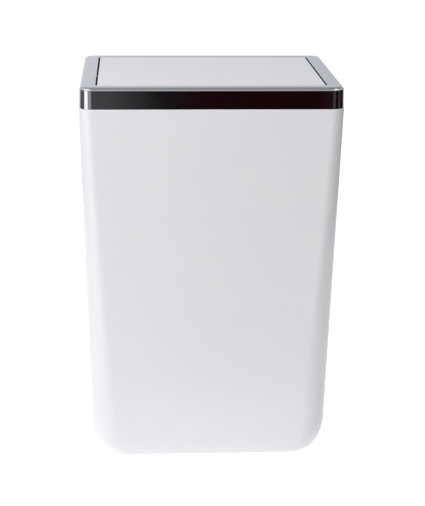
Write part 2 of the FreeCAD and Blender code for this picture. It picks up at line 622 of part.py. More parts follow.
def make_flap_underpan():
    """Pan that closes the flap from below, with a block for each pin and stiffening ribs."""
    body = new_body("flap_underpan")
    plate = level(body, "underpan_plate", FLAP_BOTTOM)
    margin = "2 * Sizes.underpan_margin"
    corner = "Sizes.flap_corner - Sizes.underpan_margin"
    add_rounded_rectangle(plate, "%s - %s" % (FLAP_WIDTH, margin), "%s - %s" % (FLAP_DEPTH, margin), corner)
    grow(body, plate, "Sizes.underpan_thickness")
    blocks = level(body, "pin_blocks", PANEL_BOTTOM)
    skirt_x = "(%s / 2 - Sizes.panel_skirt_wall - Sizes.pin_boss_clearance)" % FLAP_WIDTH
    inner_x = "(%s / 2 - Sizes.pin_grip - Sizes.panel_skirt_wall)" % FLAP_WIDTH
    front = "(%s - Sizes.pin_boss_width / 2)" % PIVOT_Y
    back = "(%s + Sizes.pin_boss_width / 2)" % PIVOT_Y
    add_block(blocks, inner_x, skirt_x, front, back)
    add_block(blocks, negative(skirt_x), negative(inner_x), front, back)
    grow(body, blocks, "%s - Sizes.pin_boss_clearance - %s" % (PANEL_UNDERSIDE, PANEL_BOTTOM))
    half_rib = "Sizes.rib_thickness / 2"
    span_x = "(%s - 2 * Sizes.rib_border)" % FLAP_WIDTH
    span_y = "(%s - 2 * Sizes.rib_border)" % FLAP_DEPTH
    for number, share in enumerate(RIB_SHARES):
        lengthways = level(body, "rib_lengthways_%d" % number, FLAP_BOTTOM)
        low = "(%s * %s - %s)" % (share, span_x, half_rib)
        high = "(%s * %s + %s)" % (share, span_x, half_rib)
        end = "(%s / 2 + %s)" % (span_y, half_rib)
        add_block(lengthways, low, high, negative(end), end)
        grow(body, lengthways, "Sizes.rib_height", True)
        crossways = level(body, "rib_crossways_%d" % number, FLAP_BOTTOM)
        low = "(%s * %s - %s)" % (share, span_y, half_rib)
        high = "(%s * %s + %s)" % (share, span_y, half_rib)
        end = "(%s / 2 + %s)" % (span_x, half_rib)
        add_block(crossways, negative(end), end, low, high)
        grow(body, crossways, "Sizes.rib_height", True)
    bores = sketch_on(body, "pin_bores", "YZ_Plane", (PIVOT_Y, PIVOT_Z, "0"))
    add_circle(bores, "0", "0", PIN_SEAT)
    cut(body, bores, FLAP_WIDTH, both_ways=True)
    holes = level(body, "underpan_holes", PANEL_BOTTOM)
    for across, along in flap_screw_places():
        add_circle(holes, across, along, SCREW_HOLE)
    cut(body, holes, "Sizes.underpan_thickness")
    return body


def make_screw(name, across, along, seat, top):
    """Screw driven upwards: its head bears on a seat and its tip ends below a top."""
    body = new_body(name)
    profile = sketch_on(body, name + "_profile", "XZ_Plane", (across, seat, negative(along)))
    head = "(Sizes.screw_head_diameter / 2)"
    crown = "(%s - Sizes.screw_head_dome)" % head
    shank = "(Sizes.screw_diameter / 2)"
    recess = "(Sizes.screw_recess_diameter / 2)"
    length = "(%s - %s - Sizes.screw_tip_clearance)" % (top, seat)
    bottom = "(-Sizes.screw_head_height)"
    shoulder = "(Sizes.screw_head_dome - Sizes.screw_head_height)"
    floor = "(Sizes.screw_recess_depth - Sizes.screw_head_height)"
    add_polygon(
        profile,
        (
            ("0", floor),
            (recess, floor),
            (recess, bottom),
            (crown, bottom),
            (head, shoulder),
            (head, "0"),
            (shank, "0"),
            (shank, "(%s - Sizes.screw_tip)" % length),
            ("(%s / 2)" % shank, length),
            ("0", length),
        ),
    )
    turn_round(body, profile, "V_Axis")
    return body


def make_screws(name, places, seat, top):
    """A set of like screws as one node of separate solids."""
    screws = []
    for number, (across, along) in enumerate(places, 1):
        screws.append(make_screw("%s_%d" % (name, number), across, along, seat, top))
    group = doc.addObject("Part::Compound", name)
    group.Label = name
    group.Links = screws
    doc.recompute()
    return group


def make_closing_bumper(name, side):
    """Soft pad on the rear ledge, with a stem pushed into the ledge."""
    body = new_body("closing_bumper_" + name)
    place = (mirrored(side, "(Sizes.bumper_spread / 2)"), WEB_TOP, negative(BUMPER_Y))
    profile = sketch_on(body, "bumper_profile_" + name, "XZ_Plane", place)
    head = "(Sizes.bumper_diameter / 2)"
    stem = "(Sizes.bumper_stem_diameter / 2)"
    add_polygon(
        profile,
        (
            ("0", "(-Sizes.carrier_web)"),
            (stem, "(-Sizes.carrier_web)"),
            (stem, "0"),
            (head, "0"),
            (head, "(Sizes.bumper_head - Sizes.bumper_edge)"),
            ("(%s - Sizes.bumper_edge)" % head, "Sizes.bumper_head"),
            ("0", "Sizes.bumper_head"),
        ),
    )
    turn_round(body, profile, "V_Axis")
    return body


def make_all():
    """Every node of the bin, in the order in which it is put together."""
    nodes = [make_bin_body(), make_lid_carrier()]
    for name, side in SIDES:
        nodes.append(make_pivot_bush(name, side))
        nodes.append(make_closing_bumper(name, side))
        nodes.append(make_pivot_pin(name, side))
    nodes.append(make_flap_panel())
    nodes.append(make_flap_underpan())
    nodes.append(make_screws("flap_screws", flap_screw_places(), FLAP_BOTTOM, PANEL_UNDERSIDE))
    nodes.append(make_chrome_collar())
    nodes.append(make_screws("collar_screws", collar_screw_places(), WEB_BOTTOM, STRIP_UNDERSIDE))
    return nodes


def check_and_write(nodes):
    doc.recompute()
    for item in doc.Objects:
        if "Invalid" in item.State or "Error" in item.State:
            raise ValueError("%s failed: %s" % (item.Name, item.State))
    for node in nodes:
        if node.Shape.isNull() or not node.Shape.isValid():
            raise ValueError("%s has no valid shape" % node.Label)
    os.makedirs("parts", exist_ok=True)
    for node in nodes:
        node.Shape.exportStep("parts/%s.step" % node.Label)
        box = node.Shape.BoundBox
        print(
            "%-22s solids %d volume %10.1f x %7.2f %7.2f y %7.2f %7.2f z %7.2f %7.2f"
            % (
                node.Label,
                len(node.Shape.Solids),
                node.Shape.Volume,
                box.XMin,
                box.XMax,
                box.YMin,
                box.YMax,
                box.ZMin,
                box.ZMax,
            )
        )


check_and_write(make_all())
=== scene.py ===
"""Lidded waste bin: its moulded and plated pieces, their finishes and a small studio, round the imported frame.

Metres. +Z is up, the front faces -Y and the origin is on the floor, under the middle of the bin.
"""
import json
import math

import bmesh
import bpy
from mathutils import Matrix, Vector


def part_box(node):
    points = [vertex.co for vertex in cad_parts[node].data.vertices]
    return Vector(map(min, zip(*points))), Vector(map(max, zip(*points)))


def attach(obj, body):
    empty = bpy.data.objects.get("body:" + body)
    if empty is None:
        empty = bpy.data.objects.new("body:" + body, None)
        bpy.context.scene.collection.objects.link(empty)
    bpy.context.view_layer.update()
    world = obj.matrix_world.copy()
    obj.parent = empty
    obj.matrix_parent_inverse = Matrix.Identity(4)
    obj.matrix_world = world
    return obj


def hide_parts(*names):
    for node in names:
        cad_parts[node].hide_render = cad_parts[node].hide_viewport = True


bl_info = {
    "name": "Lidded waste bin",
    "version": (1, 0, 0),
    "blender": (4, 5, 0),
    "location": "3D View > Sidebar > Waste bin",
    "description": "Builds a tapered waste bin with a plated collar and a push flap",
    "category": "Add Mesh",
}

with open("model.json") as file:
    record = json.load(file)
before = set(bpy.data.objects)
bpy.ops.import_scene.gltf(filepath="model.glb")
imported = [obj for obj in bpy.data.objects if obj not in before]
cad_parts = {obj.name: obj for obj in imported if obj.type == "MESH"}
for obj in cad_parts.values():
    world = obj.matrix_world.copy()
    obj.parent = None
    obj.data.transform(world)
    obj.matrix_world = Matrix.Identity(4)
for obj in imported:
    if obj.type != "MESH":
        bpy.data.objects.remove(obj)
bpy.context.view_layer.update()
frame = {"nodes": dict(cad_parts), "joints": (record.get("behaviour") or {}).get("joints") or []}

MM = 0.001
# Points closer than this are the same place
TOUCH = 0.003 * MM
# Facets round a plan corner and round broad, fine and tiny edges
CORNER_STEPS = 20
BROAD_STEPS = 8
FINE_STEPS = 4
TINY_STEPS = 2
# Cross-sections along the bucket's base rounding and up its wall
BASE_STEPS = 18
WALL_STEPS = 10
# Facets round posts, bores and screws
ROUND_STEPS = 48
# Faces that meet at more than this are left with a crisp edge
CRISP_ANGLE = math.radians(28)
# Outlines are drawn one above the other, clear of the piece, before they are lowered to their own heights
STACK_FOOT = 1.0
STACK_STEP = 10 * MM
# How far a tool runs past the surface that it opens or joins
OVERRUN = 0.6 * MM
# A face lies level where its normal points up or down by more than this share
LEVEL_FACE = 0.9
# No two screws stop at the same turn: each goes this much further than the one before
SCREW_TURN = math.radians(37)
# Noise seldom leaves this range
NOISE_SPREAD = (0.3, 0.7)
SIDES = (-1, 1)

BUCKET_LOW, BUCKET_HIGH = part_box("bin_body")
COLLAR_LOW, COLLAR_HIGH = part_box("chrome_collar")
FLAP_LOW, FLAP_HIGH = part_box("flap_panel")
CARRIER_LOW, CARRIER_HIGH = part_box("lid_carrier")
PIVOT = Vector(next(joint["pos_m"] for joint in frame["joints"] if joint["name"] == "flap_swing"))


def linear(hex_colour):
    """An sRGB hex colour as linear red, green and blue, fully opaque."""
    channels = []
    for start in (1, 3, 5):
        share = int(hex_colour[start:start + 2], 16) / 255
        channels.append(share / 12.92 if share <= 0.04045 else ((share + 0.055) / 1.055) ** 2.4)
    return (*channels, 1)


def measured(name, description, metres):
    return bpy.props.FloatProperty(name=name, description=description, default=metres, unit="LENGTH")


def length(name, description, millimetres):
    return measured(name, description, millimetres * MM)


def colour(name, description, hex_colour):
    return bpy.props.FloatVectorProperty(
        name=name, description=description, default=linear(hex_colour), subtype="COLOR", size=4, min=0, max=1
    )


def level(name, description, default):
    return bpy.props.FloatProperty(name=name, description=description, default=default, min=0)


class WasteBinBucketSizes(bpy.types.PropertyGroup):
    """Sizes of the bucket."""

    rim_width: measured("Rim width", "Bucket across its sides at the rim", BUCKET_HIGH.x - BUCKET_LOW.x)
    rim_depth: measured("Rim depth", "Bucket from front to back at the rim", BUCKET_HIGH.y - BUCKET_LOW.y)
    rim_height: measured("Rim height", "Rim above the floor", BUCKET_HIGH.z)
    rim_corner: length("Rim corner", "Plan radius of the corners at the rim", 11.5)
    rim_edge: length("Rim edge", "Rounding along the rim", 0.5)
    base_width: length("Base width", "Bucket across its sides, carried straight down to the floor", 220.5)
    base_depth: length("Base depth", "Bucket from front to back, carried straight down to the floor", 175.5)
    base_corner: length("Base corner", "Plan radius of the corners, carried down to the floor", 25)
    base_round_height: length("Base rounding height", "Height of the rounding above the floor", 38)
    base_round_inset: length("Base rounding inset", "How far the rounding draws in", 22)
    wall: length("Wall", "Thickness of the walls", 2.2)
    floor: length("Base thickness", "Thickness of the base", 3.2)
    foot_width: length("Foot ring", "Width of the ring that the bucket stands on", 8)
    foot_height: length("Foot recess", "Recess inside the ring", 1)
    corner_loss: level("Corner loss", "Share of the rounding's inset that comes off the corners", 0.4)


class WasteBinLidSizes(bpy.types.PropertyGroup):
    """Sizes of the collar and of the frame inside it."""

    width: measured("Lid width", "Collar across the bin at its foot", COLLAR_HIGH.x - COLLAR_LOW.x)
    depth: measured("Lid depth", "Collar from front to back at its foot", COLLAR_HIGH.y - COLLAR_LOW.y)
    top: measured("Lid top", "Top of the lid above the floor", COLLAR_HIGH.z)
    foot: measured("Collar foot", "Foot of the collar above the floor", COLLAR_LOW.z)
    corner: length("Collar corner", "Plan radius of the corners", 11)
    draft: length("Collar draft", "How far each side leans in towards the top", 0.4)
    edge: length("Collar edge", "Rounding along the top edge", 3)
    foot_edge: length("Collar foot edge", "Rounding along the foot", 0.25)
    hollow: length("Collar hollow", "Inset of the hollow from the foot's outside", 2.2)
    strip: length("Top strip", "Thickness of the strips round the flap", 2)
    opening_width: length("Opening width", "Opening across the bin", 208)
    opening_depth: length("Opening depth", "Opening from front to back", 169.4)
    opening_corner: length("Opening corner", "Plan radius of the opening's corners", 3.5)
    opening_edge: length("Opening edge", "Rounding along the opening", 0.5)
    lip: length("Lip", "Thickness of the lip round the opening", 1.6)
    lip_reach: length("Lip reach", "Lower edge of the lip below the top", 10)
    notch: length("Pin notch", "Width of the notch that clears a pin", 4)
    boss: length("Boss", "Diameter of the screw bosses", 5.13)
    boss_place: length("Boss place", "Screw bosses from the bin's middle", 110.32)
    boss_spacing: length("Boss spacing", "Outer screw bosses ahead of the bin's middle and behind it", 72)
    boss_middle: length("Middle boss", "Middle screw bosses behind the bin's middle", 24)
    play: length("Play", "Room between the frame and the collar", 0.3)
    frame_corner: length("Frame corner", "Plan radius of the frame's corners", 9)
    frame_wall: length("Frame wall", "Thickness of the frame's outer wall", 1.8)
    frame_lead: length("Frame lead-in", "Rounding at the foot of the spigot", 0.8)
    web_top: length("Web top", "Top of the frame's web below the top of the lid", 11)
    web: length("Web", "Thickness of the web and the ledge", 2)
    skirt: length("Skirt", "Thickness of the frame's wall round the throat", 1.6)
    skirt_drop: length("Skirt drop", "Reach of that wall below the web", 4)
    post_length: length("Bearing post", "Length of a bearing post along the side", 16)
    bush_seat: length("Bush seat", "Bore for a pivot bush", 5.14)
    stop_inside: length("Stop place", "Inner end of a stop from the bin's middle", 98.5)
    stop_drop: length("Stop drop", "Upper edge of a stop below the pivot axis", 8)
    stop_height: length("Stop height", "Height of a stop", 9)
    stop_back: length("Stop back", "Rear face of a stop behind the pivot axis", 8)
    stop_front: length("Stop front", "Upper front edge of a stop behind the pivot axis", 1.79)
    stop_lean: length("Stop lean", "How far the front of a stop leans forward towards its foot", 2.41)
    ledge_length: length("Ledge", "Length of the rear ledge", 150)
    ledge_front: length("Ledge front", "Front of the rear ledge behind the bin's middle", 73.5)
    bumper_spread: length("Bumper spread", "Distance between the closing bumpers", 110)
    bumper_place: length("Bumper place", "Closing bumpers behind the bin's middle", 78.5)
    bumper_seat: length("Bumper seat", "Hole for a bumper's stem", 3.24)


class WasteBinFlapSizes(bpy.types.PropertyGroup):
    """Sizes of the flap."""

    width: measured("Flap width", "Flap across the bin", FLAP_HIGH.x - FLAP_LOW.x)
    depth: measured("Flap depth", "Flap from front to back", FLAP_HIGH.y - FLAP_LOW.y)
    top: measured("Flap top", "Top of the flap above the floor", FLAP_HIGH.z)
    skirt_foot: measured("Skirt foot", "Foot of the panel's skirt above the floor", FLAP_LOW.z)
    corner: length("Flap corner", "Plan radius of the corners", 2.5)
    edge: length("Flap edge", "Rounding along the top edge", 0.8)
    panel: length("Panel", "Thickness of the panel", 2.4)
    skirt: length("Panel skirt", "Thickness of the panel's skirt", 1.8)
    pin_slot: length("Pin slot", "Width of the slot in the skirt round a pin", 3.04)
    pan: length("Pan", "Thickness of the pan under the panel", 2)
    pan_margin: length("Pan margin", "How far the pan stands back from the panel", 0.3)
    pan_edge: length("Pan edge", "Rounding along the pan's lower edge", 0.4)
    rib: length("Rib", "Thickness of the ribs under the pan", 1.6)
    rib_height: length("Rib height", "Height of the ribs under the pan", 1.2)
    rib_border: length("Rib border", "Outermost rib from the flap's edge", 13)
    rib_edge: length("Rib edge", "Rounding along the ribs", 0.3)
    block_inside: length("Block place", "Inner end of a pin block from the bin's middle", 88.7)
    block_outside: length("Block end", "Outer end of a pin block from the bin's middle", 100.4)
    block_width: length("Block width", "Width of a pin block", 9)
    block_gap: length("Block gap", "Room between a pin block and the panel", 0.3)
    boss: length("Flap boss", "Diameter of the screw bosses", 6.5)
    screw_inset: length("Screw inset", "Flap screws from the flap's edges", 24)


class WasteBinScrewSizes(bpy.types.PropertyGroup):
    """Sizes of the screws."""

    shank: length("Shank", "Diameter over the threads", 2.9)
    head: length("Head", "Diameter of the head", 4.8)
    head_height: length("Head height", "Height of the head", 1.9)
    head_dome: length("Head dome", "Rounding of the head", 0.6)
    cross_span: length("Cross span", "Drive cross from end to end", 2.8)
    cross_width: length("Cross width", "Width of a wing of the drive cross", 0.7)
    cross_depth: length("Cross depth", "Depth of the drive cross", 1)
    tip: length("Tip", "Length of the tapered tip", 1.2)
    tip_share: level("Tip share", "Share of the shank's diameter at the end of the tip", 0.5)
    tip_room: length("Tip room", "Room above the tip", 0.8)
    pilot: length("Pilot", "Pilot hole for a screw", 2.94)
    clearance: length("Clearance hole", "Through hole for a screw", 3.2)


class WasteBinFinishes(bpy.types.PropertyGroup):
    """Colours of the materials."""

    white: colour("White", "Polished white of the bucket and the flap", "#E9E9EC")
    white_shade: colour("White shade", "Cooler white that the polished white drifts to", "#E6E6EA")
    satin: colour("Satin white", "White of the frame and the pan", "#E2E2E4")
    satin_shade: colour("Satin shade", "Greyer white in the grain of the frame and the pan", "#D6D6D9")
    chrome: colour("Chrome", "Bright chromium plating", "#C6C7C9")
    chrome_haze: colour("Chrome haze", "Plating where it is a little cloudy", "#BFC0C3")
    acetal: colour("Acetal", "Natural acetal of the bushes", "#E8E5DA")
    steel: colour("Steel", "Drawn steel of the pins", "#B9BABC")
    steel_line: colour("Steel lines", "Drawing lines along the pins", "#98999C")
    zinc: colour("Zinc", "Bright zinc on the screws", "#C2C6CC")
    zinc_stain: colour("Zinc stain", "Duller zinc on the screws", "#A4A7A9")
    rubber: colour("Rubber", "Soft grey of the bumpers", "#3A3A3D")
    rubber_bloom: colour("Rubber bloom", "Paler bloom on the bumpers", "#505053")


class WasteBinStudio(bpy.types.PropertyGroup):
    """Camera and light."""

    eye: bpy.props.FloatVectorProperty(
        name="Eye", description="Place of the camera", default=(-0.073, -1.395, 0.5845),
        subtype="TRANSLATION", unit="LENGTH",
    )
    pitch: bpy.props.FloatProperty(
        name="Pitch", description="Camera's tilt below the horizon", default=0.2805, subtype="ANGLE"
    )
    yaw: bpy.props.FloatProperty(
        name="Yaw", description="Camera's turn to the right", default=0.0569, subtype="ANGLE"
    )
    roll: bpy.props.FloatProperty(
        name="Roll", description="Camera's turn about its own axis", default=0.0087, subtype="ANGLE"
    )
    lens: level("Lens", "Focal length in millimetres on a 36 mm frame", 105.48)
    clip_near: measured("Near clip", "Nearest distance that the camera shows", 0.01)
    clip_far: measured("Far clip", "Farthest distance that the camera shows", 100)
    key_light: level("Key light", "Power of the small softbox at the front left in watts", 2.9)
    key_side: measured("Key side", "Side of the small softbox", 0.35)
    top_light: level("Top light", "Power of the softbox above the bin in watts", 7.5)
    top_side: measured("Top side", "Side of the softbox above the bin", 1.2)
    fill_left: level("Fill from the left", "Brightness of the light from all round, at the left", 0.91)
    fill_right: level("Fill from the right", "Brightness of the light from all round, at the right", 0.13)
    sky: colour("Sky", "Tone that gloss mirrors above the horizon", "#E6E9F0")
    zenith: colour("Zenith", "Tone that gloss mirrors overhead", "#BCBCBC")
    sky_right: level("Sky at the right", "Share of the mirrored sky that is left at the right", 0.76)
    card_light: level("Card light", "Brightness of the cards that gloss mirrors", 1.9)
    ground_light: level("Ground light", "Gain on the tones of the ground that gloss mirrors", 2)
    table_width: measured("Table width", "White table that gloss mirrors, from left to right", 1.5)
    table_depth: measured("Table depth", "White table that gloss mirrors, from front to back", 0.99)
    table_middle: measured("Table middle", "Middle of that table behind the bin's middle", 0.26)
    table_corner: measured("Table corner", "Plan radius of that table's corners", 0.2)
    table_glow: level("Table glow", "Light that the table gives back besides what falls on it", 0.325)
    glow_near: measured("Glow start", "Distance from the bin where the table's glow starts to fade", 0.25)
    glow_far: measured("Glow end", "Distance from the bin where the table's glow ends", 0.9)
    floor: colour("Floor", "Plain pale floor", "#F6F6F7")
    floor_radius: measured("Floor radius", "Radius of the floor", 6)
    floor_white: level("Floor white", "Brightness that the camera sees where no light falls", 0.84)
    floor_shade: colour("Floor shade", "How strongly the camera sees light and shadow", "#A0A0A0")


def settings(context, group):
    return getattr(context.scene, "waste_bin_" + group)


def activate(piece):
    """Makes a piece the only one that is selected."""
    bpy.ops.object.select_all(action="DESELECT")
    bpy.context.view_layer.objects.active = piece
    piece.select_set(True)


def begin_piece(name):
    """Starts an empty piece in edit mode."""
    bpy.ops.object.select_all(action="DESELECT")
    bpy.ops.object.add(type="MESH", enter_editmode=True)
    piece = bpy.context.object
    piece.name = name
    piece.data.name = name
    bpy.ops.mesh.select_mode(type="EDGE")
    return piece


def draw_outline(width, depth, corner, height):
    """Adds a level loop to the piece: a rectangle with round corners."""
    bpy.ops.mesh.primitive_plane_add(size=1, location=(0, 0, height))
    bpy.ops.transform.resize(value=(width, depth, 1))
    bpy.ops.mesh.bevel(affect="VERTICES", offset=corner, segments=CORNER_STEPS)
    bpy.ops.mesh.delete(type="ONLY_FACE")


def on_outline(point, outline):
    """Whether a point lies on an outline."""
    width, depth, corner, height = outline
    if abs(point.z - height) > TOUCH:
        return False
    across = abs(point.x) - width / 2 + corner
    along = abs(point.y) - depth / 2 + corner
    outside = math.hypot(max(across, 0), max(along, 0)) + min(max(across, along), 0)
    return abs(outside - corner) < TOUCH


def select_where(piece, kind, test):
    """Selects only the vertices, edges or faces of a piece in edit mode that pass a test."""
    bpy.ops.mesh.select_all(action="DESELECT")
    shape = bmesh.from_edit_mesh(piece.data)
    for element in getattr(shape, kind):
        if test(element):
            element.select_set(True)
    bmesh.update_edit_mesh(piece.data)


def select_outlines(piece, outlines):
    def lies_on_one(edge):
        return any(all(on_outline(vertex.co, outline) for vertex in edge.verts) for outline in outlines)

    select_where(piece, "edges", lies_on_one)


def skin(piece, outlines, closed):
    """Draws outlines as a stack above the piece, bridges each to the next and lowers each to its own height.
    An open run gets a flat cap at both ends."""
    stack = []
    for number, (width, depth, corner, _) in enumerate(outlines):
        stack.append((width, depth, corner, STACK_FOOT + number * STACK_STEP))
        draw_outline(*stack[-1])
    pairs = list(zip(stack, stack[1:]))
    if closed:
        pairs.append((stack[-1], stack[0]))
    for pair in pairs:
        select_outlines(piece, pair)
        bpy.ops.mesh.bridge_edge_loops()
    if not closed:
        for end in (stack[0], stack[-1]):
            select_outlines(piece, (end,))
            bpy.ops.mesh.edge_face_add()
    for stacked, outline in zip(stack, outlines):
        select_outlines(piece, (stacked,))
        bpy.ops.transform.translate(value=(0, 0, outline[3] - stacked[3]))
    bpy.ops.mesh.select_all(action="SELECT")
    bpy.ops.mesh.normals_make_consistent(inside=False)


def inset(outline, amount, height):
    """An outline drawn in by an amount, at another height."""
    width, depth, corner, _ = outline
    return (width - 2 * amount, depth - 2 * amount, corner - amount, height)


def quarter(radius, steps):
    """Inset and rise round a quarter circle, from where it stands upright to where it lies flat."""
    turns = [math.pi / 2 * step / steps for step in range(steps + 1)]
    return [(radius * (1 - math.cos(turn)), radius * math.sin(turn)) for turn in turns]


def block(low, high):
    """A plain block between two corners, as a tool for joining or cutting."""
    low, high = Vector(low), Vector(high)
    bpy.ops.object.select_all(action="DESELECT")
    bpy.ops.mesh.primitive_cube_add(size=1, location=(low + high) / 2)
    bpy.ops.transform.resize(value=high - low)
    bpy.ops.object.transform_apply(location=True, rotation=True, scale=True)
    return bpy.context.object


def rod(start, end, diameter):
    """A plain round rod between two points, as a tool for joining or cutting."""
    start, end = Vector(start), Vector(end)
    bpy.ops.object.select_all(action="DESELECT")
    bpy.ops.mesh.primitive_cylinder_add(
        vertices=ROUND_STEPS,
        radius=diameter / 2,
        depth=(end - start).length,
        location=(start + end) / 2,
        rotation=Vector((0, 0, 1)).rotation_difference(end - start).to_euler(),
    )
    bpy.ops.object.transform_apply(location=True, rotation=True, scale=True)
    return bpy.context.object


def gather(pieces):
    """Joins objects into the first of them."""
    activate(pieces[0])
    for piece in pieces[1:]:
        piece.select_set(True)
    if len(pieces) > 1:
        bpy.ops.object.join()
    return pieces[0]


def apply_modifier(piece, kind, **values):
    activate(piece)
    bpy.ops.object.modifier_add(type=kind)
    modifier = piece.modifiers[-1]
    for name, value in values.items():
        setattr(modifier, name, value)
    bpy.ops.object.modifier_apply(modifier=modifier.name)


def combine(piece, operation, tools):
    """Joins tools to a piece, or cuts them out of it, and clears them away."""
    tool = gather(tools)
    apply_modifier(piece, "BOOLEAN", operation=operation, object=tool, solver="EXACT")
    bpy.data.objects.remove(tool)


def add_bosses(piece, places, foot, ceiling, diameter, pilot):
    """Hangs screw bosses with pilot holes under the ceiling of a piece."""
    bosses = [rod((*place, foot), (*place, ceiling + OVERRUN), diameter) for place in places]
    combine(piece, "UNION", bosses)
    pilots = [rod((*place, foot - OVERRUN), (*place, ceiling), pilot) for place in places]
    combine(piece, "DIFFERENCE", pilots)


def complete(piece, material, body, node):
    """Shades a piece, gives it its material and puts it in the place of a CAD node."""
    activate(piece)
    bpy.ops.object.shade_smooth_by_angle(angle=CRISP_ANGLE)
    apply_modifier(piece, "WEIGHTED_NORMAL", keep_sharp=True)
    piece.data.materials.clear()
    piece.data.materials.append(material)
    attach(piece, body)
    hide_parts(node)


def set_inputs(tree, node, inputs):
    """Links each input that is given a socket and sets every other one."""
    for name, value in inputs.items():
        if isinstance(value, bpy.types.NodeSocket):
            tree.links.new(value, node.inputs[name])
        else:
            node.inputs[name].default_value = value


def add_node(tree, kind, inputs=None, **options):
    """Adds a node with its options and its inputs."""
    node = tree.nodes.new(kind)
    for name, value in options.items():
        setattr(node, name, value)
    set_inputs(tree, node, inputs or {})
    return node


def new_material(name):
    """A material with a plain shader, its node tree and the place of a point on its piece, in metres."""
    material = bpy.data.materials.new(name)
    material.use_nodes = True
    tree = material.node_tree
    return material, tree, add_node(tree, "ShaderNodeTexCoord").outputs["Object"]


def replace_shader(tree, surface):
    """Puts another surface in the place of a material's plain shader."""
    tree.nodes.remove(tree.nodes["Principled BSDF"])
    set_inputs(tree, tree.nodes["Material Output"], {"Surface": surface})


def per(millimetres):
    """Noise scale that gives features of a size, on coordinates in metres."""
    return 1 / (millimetres * MM)


def drift(tree, tone_pattern, shades, gloss_pattern, roughness, spread=NOISE_SPREAD):
    """Colour and roughness that each follow a pattern from one value to another."""
    tone = add_node(
        tree, "ShaderNodeMix", {0: tone_pattern, 6: shades[0], 7: shades[1]}, data_type="RGBA"
    ).outputs[2]
    gloss = add_node(
        tree, "ShaderNodeMapRange",
        {
            "Value": gloss_pattern, "From Min": spread[0], "From Max": spread[1],
            "To Min": roughness[0], "To Max": roughness[1],
        },
    ).outputs["Result"]
    return tone, gloss


def polished_white_plastic(finishes):
    """Polypropylene moulded against polished steel: clear gloss over a soft white, with a faint flow of tone
    from the melt and a slight orange peel."""
    material, tree, place = new_material("polished_white_plastic")
    flow = add_node(
        tree, "ShaderNodeTexNoise",
        {"Vector": place, "Scale": per(70), "Detail": 3.0, "Roughness": 0.45, "Distortion": 0.8},
    ).outputs["Fac"]
    # Handling leaves the gloss a little uneven, in patches a few centimetres across
    handling = add_node(
        tree, "ShaderNodeTexNoise", {"Vector": place, "Scale": per(35), "Detail": 4.0, "Roughness": 0.55}
    ).outputs["Fac"]
    tone, gloss = drift(tree, flow, (finishes.white, finishes.white_shade), handling, (0.21, 0.25))
    # Orange peel: ripples about 5 mm apart and a few thousandths of a millimetre high
    peel = add_node(
        tree, "ShaderNodeTexNoise", {"Vector": place, "Scale": per(5), "Detail": 1.0, "Roughness": 0.4}
    ).outputs["Fac"]
    ripple = add_node(
        tree, "ShaderNodeBump", {"Height": peel, "Strength": 0.25, "Distance": 0.02 * MM}
    ).outputs["Normal"]
    set_inputs(
        tree, tree.nodes["Principled BSDF"],
        {"Base Color": tone, "Roughness": gloss, "IOR": 1.49, "Normal": ripple},
    )
    return material


def satin_white_plastic(finishes):
    """ABS moulded against spark-eroded steel: an even satin with a fine grain."""
    material, tree, place = new_material("satin_white_plastic")
    # The grain is about 0.2 mm across, drawn at 0.9 mm so that it shows
    grain = add_node(
        tree, "ShaderNodeTexNoise", {"Vector": place, "Scale": per(0.9), "Detail": 3.0, "Roughness": 0.6}
    ).outputs["Fac"]
    tone, gloss = drift(tree, grain, (finishes.satin, finishes.satin_shade), grain, (0.38, 0.5))
    rough = add_node(
        tree, "ShaderNodeBump", {"Height": grain, "Strength": 0.3, "Distance": 0.04 * MM}
    ).outputs["Normal"]
    set_inputs(
        tree, tree.nodes["Principled BSDF"],
        {"Base Color": tone, "Roughness": gloss, "IOR": 1.53, "Normal": rough},
    )
    return material


def bright_chrome_plating(finishes):
    """Chromium plated over moulded ABS: a hard mirror with a trace of haze and of the moulding's waviness."""
    material, tree, place = new_material("bright_chrome_plating")
    # Haze in patches about 18 mm across
    haze = add_node(
        tree, "ShaderNodeTexNoise", {"Vector": place, "Scale": per(18), "Detail": 4.0, "Roughness": 0.6}
    ).outputs["Fac"]
    tone, gloss = drift(tree, haze, (finishes.chrome, finishes.chrome_haze), haze, (0.04, 0.08))
    # Waves about 30 mm long in the plated moulding
    waves = add_node(
        tree, "ShaderNodeTexNoise", {"Vector": place, "Scale": per(30), "Detail": 1.0}
    ).outputs["Fac"]
    wavy = add_node(
        tree, "ShaderNodeBump", {"Height": waves, "Strength": 0.2, "Distance": 0.05 * MM}
    ).outputs["Normal"]
    set_inputs(
        tree, tree.nodes["Principled BSDF"],
        {"Base Color": tone, "Metallic": 1.0, "Roughness": gloss, "Normal": wavy},
    )
    return material


def natural_acetal(finishes):
    """Turned acetal: milky and slippery, with faint rings from the tool."""
    material, tree, place = new_material("natural_acetal")
    # Tool marks 0.4 mm apart along the bore
    rings = add_node(
        tree, "ShaderNodeTexWave",
        {"Vector": place, "Scale": per(0.4) / math.tau, "Distortion": 0.3, "Detail": 1.0},
        bands_direction="X",
    ).outputs["Fac"]
    gloss = add_node(
        tree, "ShaderNodeMapRange", {"Value": rings, "To Min": 0.3, "To Max": 0.42}
    ).outputs["Result"]
    set_inputs(
        tree, tree.nodes["Principled BSDF"],
        {
            "Base Color": finishes.acetal, "Roughness": gloss, "IOR": 1.48,
            "Subsurface Weight": 0.2, "Subsurface Scale": 1.5 * MM,
        },
    )
    return material


